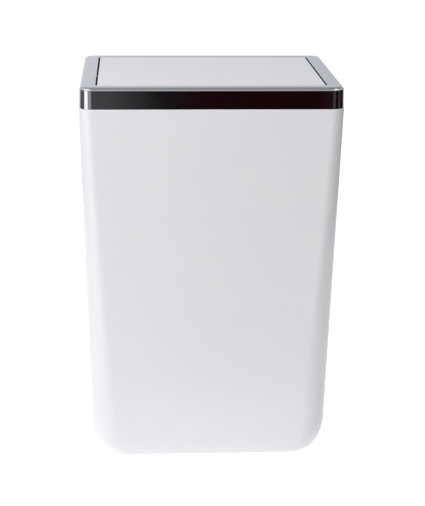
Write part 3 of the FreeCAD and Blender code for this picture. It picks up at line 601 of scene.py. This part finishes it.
def drawn_steel(finishes):
    """Steel rod drawn through a die: bright, with fine lines along its length."""
    material, tree, place = new_material("drawn_steel")
    # Lines 0.15 mm apart, each 60 times as long, along the pin
    drawn = add_node(
        tree, "ShaderNodeMapping", {"Vector": place, "Scale": (60, 1, 1)}, vector_type="TEXTURE"
    ).outputs["Vector"]
    lines = add_node(
        tree, "ShaderNodeTexNoise", {"Vector": drawn, "Scale": per(0.15), "Detail": 2.0}
    ).outputs["Fac"]
    tone, gloss = drift(tree, lines, (finishes.steel, finishes.steel_line), lines, (0.2, 0.36), spread=(0, 1))
    set_inputs(
        tree, tree.nodes["Principled BSDF"], {"Base Color": tone, "Metallic": 1.0, "Roughness": gloss}
    )
    return material


def bright_zinc(finishes):
    """Zinc plated steel: bluish and bright, with small dull patches."""
    material, tree, place = new_material("bright_zinc")
    # Patches about 1.6 mm across
    patches = add_node(
        tree, "ShaderNodeTexNoise", {"Vector": place, "Scale": per(1.6), "Detail": 4.0, "Roughness": 0.6}
    ).outputs["Fac"]
    tone, gloss = drift(tree, patches, (finishes.zinc, finishes.zinc_stain), patches, (0.22, 0.42))
    set_inputs(
        tree, tree.nodes["Principled BSDF"], {"Base Color": tone, "Metallic": 1.0, "Roughness": gloss}
    )
    return material


def soft_rubber(finishes):
    """Thermoplastic rubber: matt grey with a pale bloom and a fine grain."""
    material, tree, place = new_material("soft_rubber")
    # Bloom in spots about 2.5 mm across
    bloom = add_node(
        tree, "ShaderNodeTexNoise", {"Vector": place, "Scale": per(2.5), "Detail": 4.0, "Roughness": 0.65}
    ).outputs["Fac"]
    tone = add_node(
        tree, "ShaderNodeMix", {0: bloom, 6: finishes.rubber, 7: finishes.rubber_bloom}, data_type="RGBA"
    ).outputs[2]
    # Grain 0.3 mm across
    grain = add_node(
        tree, "ShaderNodeTexNoise", {"Vector": place, "Scale": per(0.3), "Detail": 2.0}
    ).outputs["Fac"]
    rough = add_node(
        tree, "ShaderNodeBump", {"Height": grain, "Strength": 0.4, "Distance": 0.03 * MM}
    ).outputs["Normal"]
    set_inputs(
        tree, tree.nodes["Principled BSDF"],
        {"Base Color": tone, "Roughness": 0.72, "IOR": 1.5, "Normal": rough},
    )
    return material


def material_for(context, maker):
    """A material by its maker's name, made on first use."""
    known = bpy.data.materials.get(maker.__name__)
    return known or maker(settings(context, "finishes"))


class WASTE_BIN_OT_mould_bucket(bpy.types.Operator):
    """Moulds the tapered bucket, with its rounded base, foot ring and rim"""

    bl_idname = "waste_bin.mould_bucket"
    bl_label = "Mould bucket"

    def execute(self, context):
        sizes = settings(context, "bucket")

        def wall_outline(height, drawn_in, corner_loss):
            share = height / sizes.rim_height
            return (
                sizes.base_width + (sizes.rim_width - sizes.base_width) * share - 2 * drawn_in,
                sizes.base_depth + (sizes.rim_depth - sizes.base_depth) * share - 2 * drawn_in,
                sizes.base_corner + (sizes.rim_corner - sizes.base_corner) * share - corner_loss,
                height,
            )

        def base_outlines(wall, floor):
            """Outlines from the bottom of the base rounding to its top."""
            found = []
            for step in range(BASE_STEPS + 1):
                turn = math.pi / 2 * (1 - step / BASE_STEPS)
                rounded = sizes.base_round_inset * (1 - math.cos(turn))
                height = floor + (sizes.base_round_height - floor) * (1 - math.sin(turn))
                found.append(wall_outline(height, wall + rounded, wall + sizes.corner_loss * rounded))
            return found

        def straight_outlines(wall):
            """Outlines up the straight wall, between the base rounding and the rim's edge."""
            rise = sizes.rim_height - sizes.rim_edge - sizes.base_round_height
            heights = [sizes.base_round_height + rise * step / WALL_STEPS for step in range(1, WALL_STEPS)]
            return [wall_outline(height, wall, wall) for height in heights]

        outside = base_outlines(0, 0)
        ring_inset = sizes.base_round_inset + sizes.foot_width
        recess = (
            sizes.base_width - 2 * ring_inset,
            sizes.base_depth - 2 * ring_inset,
            (sizes.base_corner - sizes.corner_loss * sizes.base_round_inset) / 2,
            0,
        )
        edge = quarter(sizes.rim_edge, FINE_STEPS)
        edge_foot = sizes.rim_height - sizes.rim_edge
        outer_edge = [wall_outline(edge_foot + rise, across, across) for across, rise in edge]
        inner_edge = []
        for across, rise in reversed(edge):
            inner_edge.append(wall_outline(edge_foot + rise, sizes.wall - across, sizes.wall - across))
        outlines = [inset(recess, 0, sizes.foot_height), recess]
        outlines += outside + straight_outlines(0) + outer_edge
        outlines += inner_edge + straight_outlines(sizes.wall)[::-1]
        outlines += base_outlines(sizes.wall, sizes.floor)[::-1]
        piece = begin_piece("bucket")
        skin(piece, outlines, closed=False)
        bpy.ops.object.mode_set(mode="OBJECT")
        complete(piece, material_for(context, polished_white_plastic), "bin", "bin_body")
        return {"FINISHED"}


def boss_places(lid):
    """Plan places of the collar's screws."""
    rows = (-lid.boss_spacing, lid.boss_middle, lid.boss_spacing)
    return [(side * lid.boss_place, along) for side in SIDES for along in rows]


class WASTE_BIN_OT_plate_collar(bpy.types.Operator):
    """Makes the plated collar: its band, top strips, lip, screw bosses and pin notches"""

    bl_idname = "waste_bin.plate_collar"
    bl_label = "Plate collar"

    def execute(self, context):
        lid = settings(context, "lid")
        foot = (lid.width, lid.depth, lid.corner, lid.foot)
        opening = (lid.opening_width, lid.opening_depth, lid.opening_corner, lid.top)

        def lean(height):
            return lid.draft * (height - lid.foot) / (lid.top - lid.foot)

        outlines = [inset(foot, lid.hollow, lid.foot)]
        for across, rise in reversed(quarter(lid.foot_edge, FINE_STEPS)):
            outlines.append(inset(foot, across, lid.foot + lid.foot_edge - rise))
        edge_foot = lid.top - lid.edge
        for across, rise in quarter(lid.edge, BROAD_STEPS):
            outlines.append(inset(foot, lean(edge_foot) + across, edge_foot + rise))
        for across, rise in reversed(quarter(lid.opening_edge, FINE_STEPS)):
            outlines.append(inset(opening, -across, lid.top - lid.opening_edge + rise))
        lip_foot = lid.top - lid.lip_reach
        under_strip = lid.top - lid.strip
        outlines.append(inset(opening, 0, lip_foot))
        outlines.append(inset(opening, -lid.lip, lip_foot))
        outlines.append(inset(opening, -lid.lip, under_strip))
        outlines.append(inset(foot, lid.hollow, under_strip))
        piece = begin_piece("collar")
        skin(piece, outlines, closed=True)
        bpy.ops.object.mode_set(mode="OBJECT")
        pilot = settings(context, "screw").pilot
        add_bosses(piece, boss_places(lid), lid.top - lid.web_top, under_strip, lid.boss, pilot)
        reach = lid.opening_width / 2 + lid.lip + lid.play
        half = lid.notch / 2
        notch = block((-reach, PIVOT.y - half, lip_foot - OVERRUN), (reach, PIVOT.y + half, PIVOT.z + half))
        combine(piece, "DIFFERENCE", [notch])
        material = material_for(context, bright_chrome_plating)
        complete(piece, material, "lid", "chrome_collar")
        return {"FINISHED"}


class WASTE_BIN_OT_mould_frame(bpy.types.Operator):
    """Moulds the frame inside the collar: its spigot, web, throat wall, posts, stops and rear ledge"""

    bl_idname = "waste_bin.mould_frame"
    bl_label = "Mould frame"

    def execute(self, context):
        lid = settings(context, "lid")
        opening = (lid.opening_width, lid.opening_depth, lid.opening_corner, lid.top)
        throat = inset(opening, -lid.lip - lid.play, lid.top)
        web_top = lid.top - lid.web_top
        web_foot = web_top - lid.web
        piece = begin_piece("lid_frame")
        skin(piece, self.ring_outlines(lid, throat, web_top, web_foot), closed=True)
        bpy.ops.object.mode_set(mode="OBJECT")
        added = self.posts_and_stops(lid, throat[0] / 2)
        half_ledge = lid.ledge_length / 2
        ledge_back = throat[1] / 2 + lid.skirt
        added.append(block((-half_ledge, lid.ledge_front, web_foot), (half_ledge, ledge_back, web_top)))
        for tool in added:
            combine(piece, "UNION", [tool])
        reach = CARRIER_HIGH.x + OVERRUN
        cuts = [rod((-reach, *PIVOT.yz), (reach, *PIVOT.yz), lid.bush_seat)]
        clearance = settings(context, "screw").clearance
        holes = [(place, clearance) for place in boss_places(lid)]
        for side in SIDES:
            holes.append(((side * lid.bumper_spread / 2, lid.bumper_place), lid.bumper_seat))
        for place, diameter in holes:
            cuts.append(rod((*place, web_foot - OVERRUN), (*place, web_top + OVERRUN), diameter))
        combine(piece, "DIFFERENCE", cuts)
        complete(piece, material_for(context, satin_white_plastic), "lid", "lid_carrier")
        return {"FINISHED"}

    def ring_outlines(self, lid, throat, web_top, web_foot):
        """Outlines round the ring's section, up its outside, over the web and down the throat."""
        top = CARRIER_HIGH.z
        foot = CARRIER_LOW.z
        skirt_foot = web_foot - lid.skirt_drop
        spigot = (CARRIER_HIGH.x - CARRIER_LOW.x, CARRIER_HIGH.y - CARRIER_LOW.y, lid.frame_corner, foot)
        outlines = []
        for across, rise in reversed(quarter(lid.frame_lead, FINE_STEPS)):
            outlines.append(inset(spigot, across, foot + lid.frame_lead - rise))
        return outlines + [
            inset(spigot, 0, top),
            inset(spigot, lid.frame_wall, top),
            inset(spigot, lid.frame_wall, web_top),
            inset(throat, -lid.skirt, web_top),
            inset(throat, -lid.skirt, top),
            inset(throat, 0, top),
            inset(throat, 0, skirt_foot),
            inset(throat, -lid.skirt, skirt_foot),
            inset(throat, -lid.skirt, web_foot),
            inset(spigot, lid.frame_wall, web_foot),
            inset(spigot, lid.frame_wall, foot),
        ]

    def posts_and_stops(self, lid, throat_x):
        """A bearing post on each side and, in the throat, a stop whose front leans as the open flap does."""
        stop_foot = PIVOT.z - lid.stop_drop - lid.stop_height
        stop_front = PIVOT.y + lid.stop_front
        stop_back = PIVOT.y + lid.stop_back
        half_post = lid.post_length / 2
        post_end = CARRIER_HIGH.x - lid.frame_wall / 2
        found = []

        def on_front_foot(point):
            return abs(point.co.y - stop_front) + abs(point.co.z - stop_foot) < TOUCH

        for side in SIDES:
            low, high = sorted((side * throat_x, side * post_end))
            found.append(
                block((low, PIVOT.y - half_post, stop_foot), (high, PIVOT.y + half_post, CARRIER_HIGH.z))
            )
            low, high = sorted((side * lid.stop_inside, side * (throat_x + lid.skirt)))
            stop = block((low, stop_front, stop_foot), (high, stop_back, stop_foot + lid.stop_height))
            bpy.ops.object.mode_set(mode="EDIT")
            select_where(stop, "verts", on_front_foot)
            bpy.ops.transform.translate(value=(0, -lid.stop_lean, 0))
            bpy.ops.object.mode_set(mode="OBJECT")
            found.append(stop)
        return found


def flap_screw_places(flap):
    """Plan places of the flap's screws."""
    across = flap.width / 2 - flap.screw_inset
    along = flap.depth / 2 - flap.screw_inset
    return [(side * across, end * along) for side in SIDES for end in SIDES]


class WASTE_BIN_OT_mould_flap(bpy.types.Operator):
    """Moulds the flap's panel: a shallow tray turned upside down, with screw bosses and pin slots"""

    bl_idname = "waste_bin.mould_flap"
    bl_label = "Mould flap"

    def execute(self, context):
        flap = settings(context, "flap")
        slab = (flap.width, flap.depth, flap.corner, flap.top)
        ceiling = flap.top - flap.panel
        outlines = []
        for across, rise in reversed(quarter(flap.edge, BROAD_STEPS)):
            outlines.append(inset(slab, across, flap.top - flap.edge + rise))
        outlines += [
            inset(slab, 0, flap.skirt_foot),
            inset(slab, flap.skirt, flap.skirt_foot),
            inset(slab, flap.skirt, ceiling),
        ]
        piece = begin_piece("flap_top")
        skin(piece, outlines, closed=False)
        bpy.ops.object.mode_set(mode="OBJECT")
        pilot = settings(context, "screw").pilot
        add_bosses(piece, flap_screw_places(flap), flap.skirt_foot, ceiling, flap.boss, pilot)
        half = flap.pin_slot / 2
        reach = flap.width / 2 + OVERRUN
        low = (-reach, PIVOT.y - half, flap.skirt_foot - OVERRUN)
        combine(piece, "DIFFERENCE", [block(low, (reach, PIVOT.y + half, PIVOT.z + half))])
        complete(piece, material_for(context, polished_white_plastic), "flap", "flap_panel")
        return {"FINISHED"}


class WASTE_BIN_OT_mould_pan(bpy.types.Operator):
    """Moulds the pan under the flap, with its ribs, pin blocks and screw holes"""

    bl_idname = "waste_bin.mould_pan"
    bl_label = "Mould pan"

    def execute(self, context):
        flap = settings(context, "flap")
        clearance = settings(context, "screw").clearance
        top = flap.skirt_foot
        foot = top - flap.pan
        plate = inset((flap.width, flap.depth, flap.corner, foot), flap.pan_margin, foot)
        outlines = []
        for across, rise in reversed(quarter(flap.pan_edge, FINE_STEPS)):
            outlines.append(inset(plate, across, foot + flap.pan_edge - rise))
        outlines.append(inset(plate, 0, top))
        piece = begin_piece("flap_pan")
        skin(piece, outlines, closed=False)
        self.raise_ribs(piece, flap, foot)
        bpy.ops.object.mode_set(mode="OBJECT")
        blocks = []
        bores = []
        block_top = flap.top - flap.panel - flap.block_gap
        half_block = flap.block_width / 2
        for side in SIDES:
            low, high = sorted((side * flap.block_inside, side * flap.block_outside))
            corner = (low, PIVOT.y - half_block, top - OVERRUN)
            blocks.append(block(corner, (high, PIVOT.y + half_block, block_top)))
            bores.append(rod((low - OVERRUN, *PIVOT.yz), (high + OVERRUN, *PIVOT.yz), flap.pin_slot))
        combine(piece, "UNION", blocks)
        for place in flap_screw_places(flap):
            bores.append(rod((*place, foot - OVERRUN), (*place, top + OVERRUN), clearance))
        combine(piece, "DIFFERENCE", bores)
        complete(piece, material_for(context, satin_white_plastic), "flap", "flap_underpan")
        return {"FINISHED"}

    def raise_ribs(self, piece, flap, foot):
        """Draws three ribs each way out of the underside of the pan."""
        span = (flap.width / 2 - flap.rib_border, flap.depth / 2 - flap.rib_border)
        half = flap.rib / 2
        lines = (-1, 0, 1)

        def faces_down(face):
            middle = face.calc_center_median()
            return abs(middle.z - foot) < TOUCH and face.normal.z < 0

        def under_a_rib(face):
            middle = face.calc_center_median()
            for axis in (0, 1):
                on_line = any(abs(middle[axis] - line * span[axis]) < half for line in lines)
                if on_line and abs(middle[1 - axis]) < span[1 - axis] + half:
                    return faces_down(face)
            return False

        bpy.ops.mesh.select_mode(type="FACE")
        for axis in (0, 1):
            for line in lines:
                for offset in (-half, half):
                    spot = [0, 0, foot]
                    spot[axis] = line * span[axis] + offset
                    select_where(piece, "faces", faces_down)
                    bpy.ops.mesh.bisect(plane_co=spot, plane_no=(1 - axis, axis, 0))
        select_where(piece, "faces", under_a_rib)
        bpy.ops.mesh.extrude_region_move(TRANSFORM_OT_translate={"value": (0, 0, -flap.rib_height)})
        bpy.ops.mesh.region_to_loop()
        bpy.ops.mesh.bevel(offset=flap.rib_edge, segments=TINY_STEPS, affect="EDGES")


class WASTE_BIN_OT_drive_screws(bpy.types.Operator):
    """Makes the cross-head screws that hold the collar and the flap together"""

    bl_idname = "waste_bin.drive_screws"
    bl_label = "Drive screws"

    def execute(self, context):
        lid = settings(context, "lid")
        flap = settings(context, "flap")
        sets = (
            ("collar_screw_set", boss_places(lid), lid.top - lid.web_top - lid.web, lid.top - lid.strip,
             "lid", "collar_screws"),
            ("flap_screw_set", flap_screw_places(flap), flap.skirt_foot - flap.pan, flap.top - flap.panel,
             "flap", "flap_screws"),
        )
        for name, places, seat, top, body, node in sets:
            screws = [self.make_screw(context, top - seat)]
            while len(screws) < len(places):
                activate(screws[0])
                bpy.ops.object.duplicate()
                screws.append(bpy.context.object)
            for number, (screw, place) in enumerate(zip(screws, places)):
                turn = Matrix.Rotation(SCREW_TURN * number, 4, "Z")
                screw.data.transform(Matrix.Translation((*place, seat)) @ turn)
            piece = gather(screws)
            piece.name = name
            piece.data.name = name
            complete(piece, material_for(context, bright_zinc), body, node)
        return {"FINISHED"}

    def make_screw(self, context, room):
        """A screw that points up from the origin, with its head below."""
        sizes = settings(context, "screw")
        screw = rod((0, 0, -sizes.head_height), (0, 0, 0), sizes.head)
        bpy.ops.object.mode_set(mode="EDIT")
        bpy.ops.mesh.select_mode(type="FACE")
        select_where(screw, "faces", lambda face: face.normal.z < -LEVEL_FACE)
        bpy.ops.mesh.region_to_loop()
        bpy.ops.mesh.bevel(offset=sizes.head_dome, segments=FINE_STEPS, affect="EDGES")
        bpy.ops.mesh.select_mode(type="FACE")
        select_where(screw, "faces", lambda face: face.normal.z > LEVEL_FACE)
        bpy.ops.mesh.inset(thickness=(sizes.head - sizes.shank) / 2, depth=0)
        shank = room - sizes.tip_room - sizes.tip
        bpy.ops.mesh.extrude_region_move(TRANSFORM_OT_translate={"value": (0, 0, shank)})
        bpy.ops.mesh.extrude_region_move(TRANSFORM_OT_translate={"value": (0, 0, sizes.tip)})
        bpy.ops.transform.resize(value=(sizes.tip_share, sizes.tip_share, 1))
        bpy.ops.object.mode_set(mode="OBJECT")
        long_half = sizes.cross_span / 2
        short_half = sizes.cross_width / 2
        floor = sizes.cross_depth - sizes.head_height
        below = -sizes.head_height - OVERRUN
        for across, along in ((long_half, short_half), (short_half, long_half)):
            combine(screw, "DIFFERENCE", [block((-across, -along, below), (across, along, floor))])
        return screw


class WASTE_BIN_OT_finish_small_parts(bpy.types.Operator):
    """Gives the pins, bushes and bumpers their materials"""

    bl_idname = "waste_bin.finish_small_parts"
    bl_label = "Finish small parts"

    def execute(self, context):
        makers = {"pivot_pin": drawn_steel, "pivot_bush": natural_acetal, "closing_bumper": soft_rubber}
        for part, maker in makers.items():
            for side in ("left", "right"):
                materials = frame["nodes"][part + "_" + side].data.materials
                materials.clear()
                materials.append(material_for(context, maker))
        return {"FINISHED"}


# Facets of the floor's edge and of the table's corners
FLOOR_FACETS = 96
TABLE_STEPS = 12
# Height of the mirrored ground above the floor, and how many times the table it reaches
GROUND_LIFT = 1 * MM
GROUND_REACH = 14
# Upward share of a direction over which the mirrored sky turns to its zenith
SKY_BAND = (0.3, 0.8)
# Rightward share of a direction over which the mirrored sky dims
DIM_BAND = (-0.1, 0.2)
# What gloss mirrors on the ground all round: degrees from the front, left negative, and its tone
DEEP = "#170306"
LINE = "#353535"
MIRRORED_TONES = (
    (-180, "#A0A0A0"),
    (-130, "#959595"),
    (-120, "#45484D"),
    (-72, "#4D5055"),
    (-69, "#F3F3F3"),
    (-40, "#F3F3F3"),
    (-37, "#7E7E80"),
    (-10, "#89898A"),
    (-7, "#403F40"),
    (-3.5, "#403F40"),
    (-2.1, LINE),
    (-0.7, "#161619"),
    (1, "#120A0D"),
    (2.5, DEEP),
    (10.5, DEEP),
    (13, LINE),
    (32, LINE),
    (37, DEEP),
    (60, DEEP),
    (65, LINE),
    (80, LINE),
    (86, DEEP),
    (110, DEEP),
    (140, "#6C6C6C"),
    (180, "#959595"),
)
# Cards that only gloss mirrors: name, middle, width and height
CARDS = (
    ("left_card", (-1.26, -0.93, 1.6), (2.0, 1.3)),
    ("right_card", (1.08, -1.13, 1.6), (1.26, 1.3)),
)
# Softboxes: the word that their settings start with, their middle and what they point at
SOFTBOXES = (
    ("key", (-0.6, -0.65, 0.75), (0, 0, 0.25)),
    ("top", (0, -0.5, 2.1), (0, 0, 0)),
)
WHITE = linear("#FFFFFF")


class WASTE_BIN_OT_set_stage(bpy.types.Operator):
    """Sets up the floor, the light and the camera"""

    bl_idname = "waste_bin.set_stage"
    bl_label = "Set stage"

    def execute(self, context):
        studio = settings(context, "studio")
        self.make_world(context, studio)
        self.lay_floor(studio)
        self.lay_mirrored_ground(studio)
        self.hang_cards(studio)
        self.hang_lights(studio)
        self.place_camera(context, studio)
        context.scene.view_settings.view_transform = "Standard"
        return {"FINISHED"}

    def seen_directly(self, tree):
        """1 for camera, glossy and transmission rays and 0 for the others."""
        path = add_node(tree, "ShaderNodeLightPath")
        seen = add_node(
            tree, "ShaderNodeMath",
            {0: path.outputs["Is Camera Ray"], 1: path.outputs["Is Glossy Ray"]},
            operation="MAXIMUM",
        )
        return add_node(
            tree, "ShaderNodeMath",
            {0: seen.outputs["Value"], 1: path.outputs["Is Transmission Ray"]},
            operation="MAXIMUM",
        ).outputs["Value"]

    def make_world(self, context, studio):
        """White to the camera, grey overhead in reflections, and a fill that is stronger on the left."""
        world = bpy.data.worlds.new("studio")
        world.use_nodes = True
        tree = world.node_tree
        tree.nodes.clear()
        direction = add_node(tree, "ShaderNodeTexCoord").outputs["Generated"]
        axes = add_node(tree, "ShaderNodeSeparateXYZ", {"Vector": direction}).outputs
        upward = add_node(
            tree, "ShaderNodeMapRange",
            {"Value": axes["Z"], "From Min": SKY_BAND[0], "From Max": SKY_BAND[1]},
        ).outputs["Result"]
        sky = add_node(
            tree, "ShaderNodeMix", {0: upward, 6: studio.sky, 7: studio.zenith}, data_type="RGBA"
        ).outputs[2]
        dimmed = add_node(
            tree, "ShaderNodeMapRange",
            {
                "Value": axes["X"], "From Min": DIM_BAND[0], "From Max": DIM_BAND[1],
                "To Min": 1.0, "To Max": studio.sky_right,
            },
        ).outputs["Result"]
        mirrored = add_node(tree, "ShaderNodeBackground", {"Color": sky, "Strength": dimmed})
        plain = add_node(tree, "ShaderNodeBackground", {"Color": WHITE})
        camera = add_node(tree, "ShaderNodeLightPath").outputs["Is Camera Ray"]
        seen = add_node(
            tree, "ShaderNodeMixShader",
            {0: camera, 1: mirrored.outputs["Background"], 2: plain.outputs["Background"]},
        )
        sideways = add_node(
            tree, "ShaderNodeMapRange",
            {
                "Value": axes["X"], "From Min": -1.0, "From Max": 1.0,
                "To Min": studio.fill_left, "To Max": studio.fill_right,
            },
        ).outputs["Result"]
        fill = add_node(tree, "ShaderNodeBackground", {"Color": WHITE, "Strength": sideways})
        mixed = add_node(
            tree, "ShaderNodeMixShader",
            {0: self.seen_directly(tree), 1: fill.outputs["Background"], 2: seen.outputs["Shader"]},
        )
        add_node(tree, "ShaderNodeOutputWorld", {"Surface": mixed.outputs["Shader"]})
        context.scene.world = world

    def lay_floor(self, studio):
        """Pale floor that bounces light, looks white and keeps a faint shadow."""
        bpy.ops.object.select_all(action="DESELECT")
        bpy.ops.mesh.primitive_circle_add(
            vertices=FLOOR_FACETS, radius=studio.floor_radius, fill_type="NGON"
        )
        floor = bpy.context.object
        floor.name = "floor"
        material, tree, place = new_material("pale_floor")
        bounce = add_node(tree, "ShaderNodeBsdfDiffuse", {"Color": studio.floor})
        away = add_node(tree, "ShaderNodeVectorMath", {0: place}, operation="LENGTH").outputs["Value"]
        strength = add_node(
            tree, "ShaderNodeMapRange",
            {
                "Value": away, "From Min": studio.glow_near, "From Max": studio.glow_far,
                "To Min": studio.table_glow, "To Max": 0.0,
            },
        ).outputs["Result"]
        glow = add_node(tree, "ShaderNodeEmission", {"Color": WHITE, "Strength": strength})
        given = add_node(
            tree, "ShaderNodeAddShader", {0: bounce.outputs["BSDF"], 1: glow.outputs["Emission"]}
        )
        shadow = add_node(tree, "ShaderNodeBsdfDiffuse", {"Color": studio.floor_shade})
        plain = add_node(tree, "ShaderNodeEmission", {"Color": WHITE, "Strength": studio.floor_white})
        shown = add_node(
            tree, "ShaderNodeAddShader", {0: shadow.outputs["BSDF"], 1: plain.outputs["Emission"]}
        )
        mixed = add_node(
            tree, "ShaderNodeMixShader",
            {0: self.seen_directly(tree), 1: given.outputs["Shader"], 2: shown.outputs["Shader"]},
        )
        replace_shader(tree, mixed.outputs["Shader"])
        floor.data.materials.append(material)

    def lay_mirrored_ground(self, studio):
        """Ground beyond the edge of a white table, which only reflections show."""
        bpy.ops.object.select_all(action="DESELECT")
        bpy.ops.mesh.primitive_plane_add(size=1, location=(0, studio.table_middle, GROUND_LIFT))
        bpy.ops.transform.resize(value=(studio.table_width, studio.table_depth, 1))
        bpy.ops.object.transform_apply(location=True, rotation=True, scale=True)
        ground = bpy.context.object
        ground.name = "reflected_ground"
        bpy.ops.object.mode_set(mode="EDIT")
        bpy.ops.mesh.bevel(affect="VERTICES", offset=studio.table_corner, segments=TABLE_STEPS)
        bpy.ops.mesh.delete(type="ONLY_FACE")
        bpy.ops.mesh.select_all(action="SELECT")
        bpy.ops.mesh.extrude_edges_move(TRANSFORM_OT_translate={"value": (0, 0, 0)})
        bpy.ops.transform.resize(value=(GROUND_REACH, GROUND_REACH, 1))
        bpy.ops.object.mode_set(mode="OBJECT")
        material, tree, place = new_material("dark_ground")
        # Turned so that the sweep runs clockwise from the back and the front is at its middle
        swept = add_node(
            tree, "ShaderNodeMapping", {"Vector": place, "Rotation": (0, 0, math.radians(90))}
        ).outputs["Vector"]
        sweep = add_node(tree, "ShaderNodeTexGradient", {"Vector": swept}, gradient_type="RADIAL")
        ramp = add_node(tree, "ShaderNodeValToRGB", {"Fac": sweep.outputs["Fac"]})
        stops = ramp.color_ramp.elements
        for degrees, _ in MIRRORED_TONES[1:-1]:
            stops.new(0.5 + degrees / 360)
        for stop, (_, tone) in zip(stops, MIRRORED_TONES):
            stop.color = linear(tone)
        glow = add_node(
            tree, "ShaderNodeEmission", {"Color": ramp.outputs["Color"], "Strength": studio.ground_light}
        )
        replace_shader(tree, glow.outputs["Emission"])
        ground.data.materials.append(material)
        self.show_in_reflections(ground)

    def hang_cards(self, studio):
        """Two bright cards above the horizon, left and right of the camera, that only reflections show."""
        material, tree, _ = new_material("bright_card")
        glow = add_node(tree, "ShaderNodeEmission", {"Color": WHITE, "Strength": studio.card_light})
        replace_shader(tree, glow.outputs["Emission"])
        for name, middle, size in CARDS:
            bpy.ops.object.select_all(action="DESELECT")
            facing = Vector((-middle[0], -middle[1], 0)).to_track_quat("Z", "Y").to_euler()
            bpy.ops.mesh.primitive_plane_add(size=1, location=middle, rotation=facing)
            card = bpy.context.object
            card.name = name
            card.scale = (*size, 1)
            bpy.ops.object.transform_apply(location=True, rotation=True, scale=True)
            card.data.materials.append(material)
            self.show_in_reflections(card)

    def show_in_reflections(self, piece):
        """Keeps a piece of the stage out of all but reflections."""
        piece.visible_camera = False
        piece.visible_diffuse = False
        piece.visible_shadow = False
        piece.visible_transmission = False

    def hang_lights(self, studio):
        """Small softbox at the front left and a wide one above the bin, which gloss doesn't mirror."""
        for name, middle, target in SOFTBOXES:
            bpy.ops.object.select_all(action="DESELECT")
            bpy.ops.object.light_add(type="AREA", location=middle)
            lamp = bpy.context.object
            lamp.name = name + "_softbox"
            lamp.data.size = getattr(studio, name + "_side")
            lamp.data.energy = getattr(studio, name + "_light")
            lamp.rotation_euler = (Vector(target) - Vector(middle)).to_track_quat("-Z", "Y").to_euler()
            lamp.visible_camera = False
            lamp.visible_glossy = False

    def place_camera(self, context, studio):
        """Camera at the eye point, turned by yaw, pitch and roll."""
        bpy.ops.object.select_all(action="DESELECT")
        aim = Matrix.Rotation(-studio.yaw, 4, "Z") @ Matrix.Rotation(math.pi / 2 - studio.pitch, 4, "X")
        turned = aim @ Matrix.Rotation(studio.roll, 4, "Z")
        bpy.ops.object.camera_add(location=studio.eye, rotation=turned.to_euler())
        camera = bpy.context.object
        camera.name = "camera"
        camera.data.lens = studio.lens
        camera.data.clip_start = studio.clip_near
        camera.data.clip_end = studio.clip_far
        context.scene.camera = camera


class WASTE_BIN_PT_pieces(bpy.types.Panel):
    """Lists what builds the bin"""

    bl_idname = "WASTE_BIN_PT_pieces"
    bl_label = "Waste bin"
    bl_space_type = "VIEW_3D"
    bl_region_type = "UI"
    bl_category = "Waste bin"

    def draw(self, context):
        for operator in OPERATORS:
            self.layout.operator(operator.bl_idname)
        for group in GROUPS:
            self.layout.separator()
            for name in GROUPS[group].__annotations__:
                self.layout.prop(settings(context, group), name)


GROUPS = {
    "bucket": WasteBinBucketSizes,
    "lid": WasteBinLidSizes,
    "flap": WasteBinFlapSizes,
    "screw": WasteBinScrewSizes,
    "finishes": WasteBinFinishes,
    "studio": WasteBinStudio,
}
OPERATORS = (
    WASTE_BIN_OT_mould_bucket,
    WASTE_BIN_OT_plate_collar,
    WASTE_BIN_OT_mould_frame,
    WASTE_BIN_OT_mould_flap,
    WASTE_BIN_OT_mould_pan,
    WASTE_BIN_OT_drive_screws,
    WASTE_BIN_OT_finish_small_parts,
    WASTE_BIN_OT_set_stage,
)


def register():
    for group, kind in GROUPS.items():
        bpy.utils.register_class(kind)
        setattr(bpy.types.Scene, "waste_bin_" + group, bpy.props.PointerProperty(type=kind))
    for operator in OPERATORS:
        bpy.utils.register_class(operator)
    bpy.utils.register_class(WASTE_BIN_PT_pieces)


def unregister():
    bpy.utils.unregister_class(WASTE_BIN_PT_pieces)
    for operator in reversed(OPERATORS):
        bpy.utils.unregister_class(operator)
    for group, kind in GROUPS.items():
        delattr(bpy.types.Scene, "waste_bin_" + group)
        bpy.utils.unregister_class(kind)


def main():
    register()
    bpy.ops.waste_bin.mould_bucket()
    bpy.ops.waste_bin.plate_collar()
    bpy.ops.waste_bin.mould_frame()
    bpy.ops.waste_bin.mould_flap()
    bpy.ops.waste_bin.mould_pan()
    bpy.ops.waste_bin.drive_screws()
    bpy.ops.waste_bin.finish_small_parts()
    bpy.ops.waste_bin.set_stage()


if __name__ == "__main__":
    main()
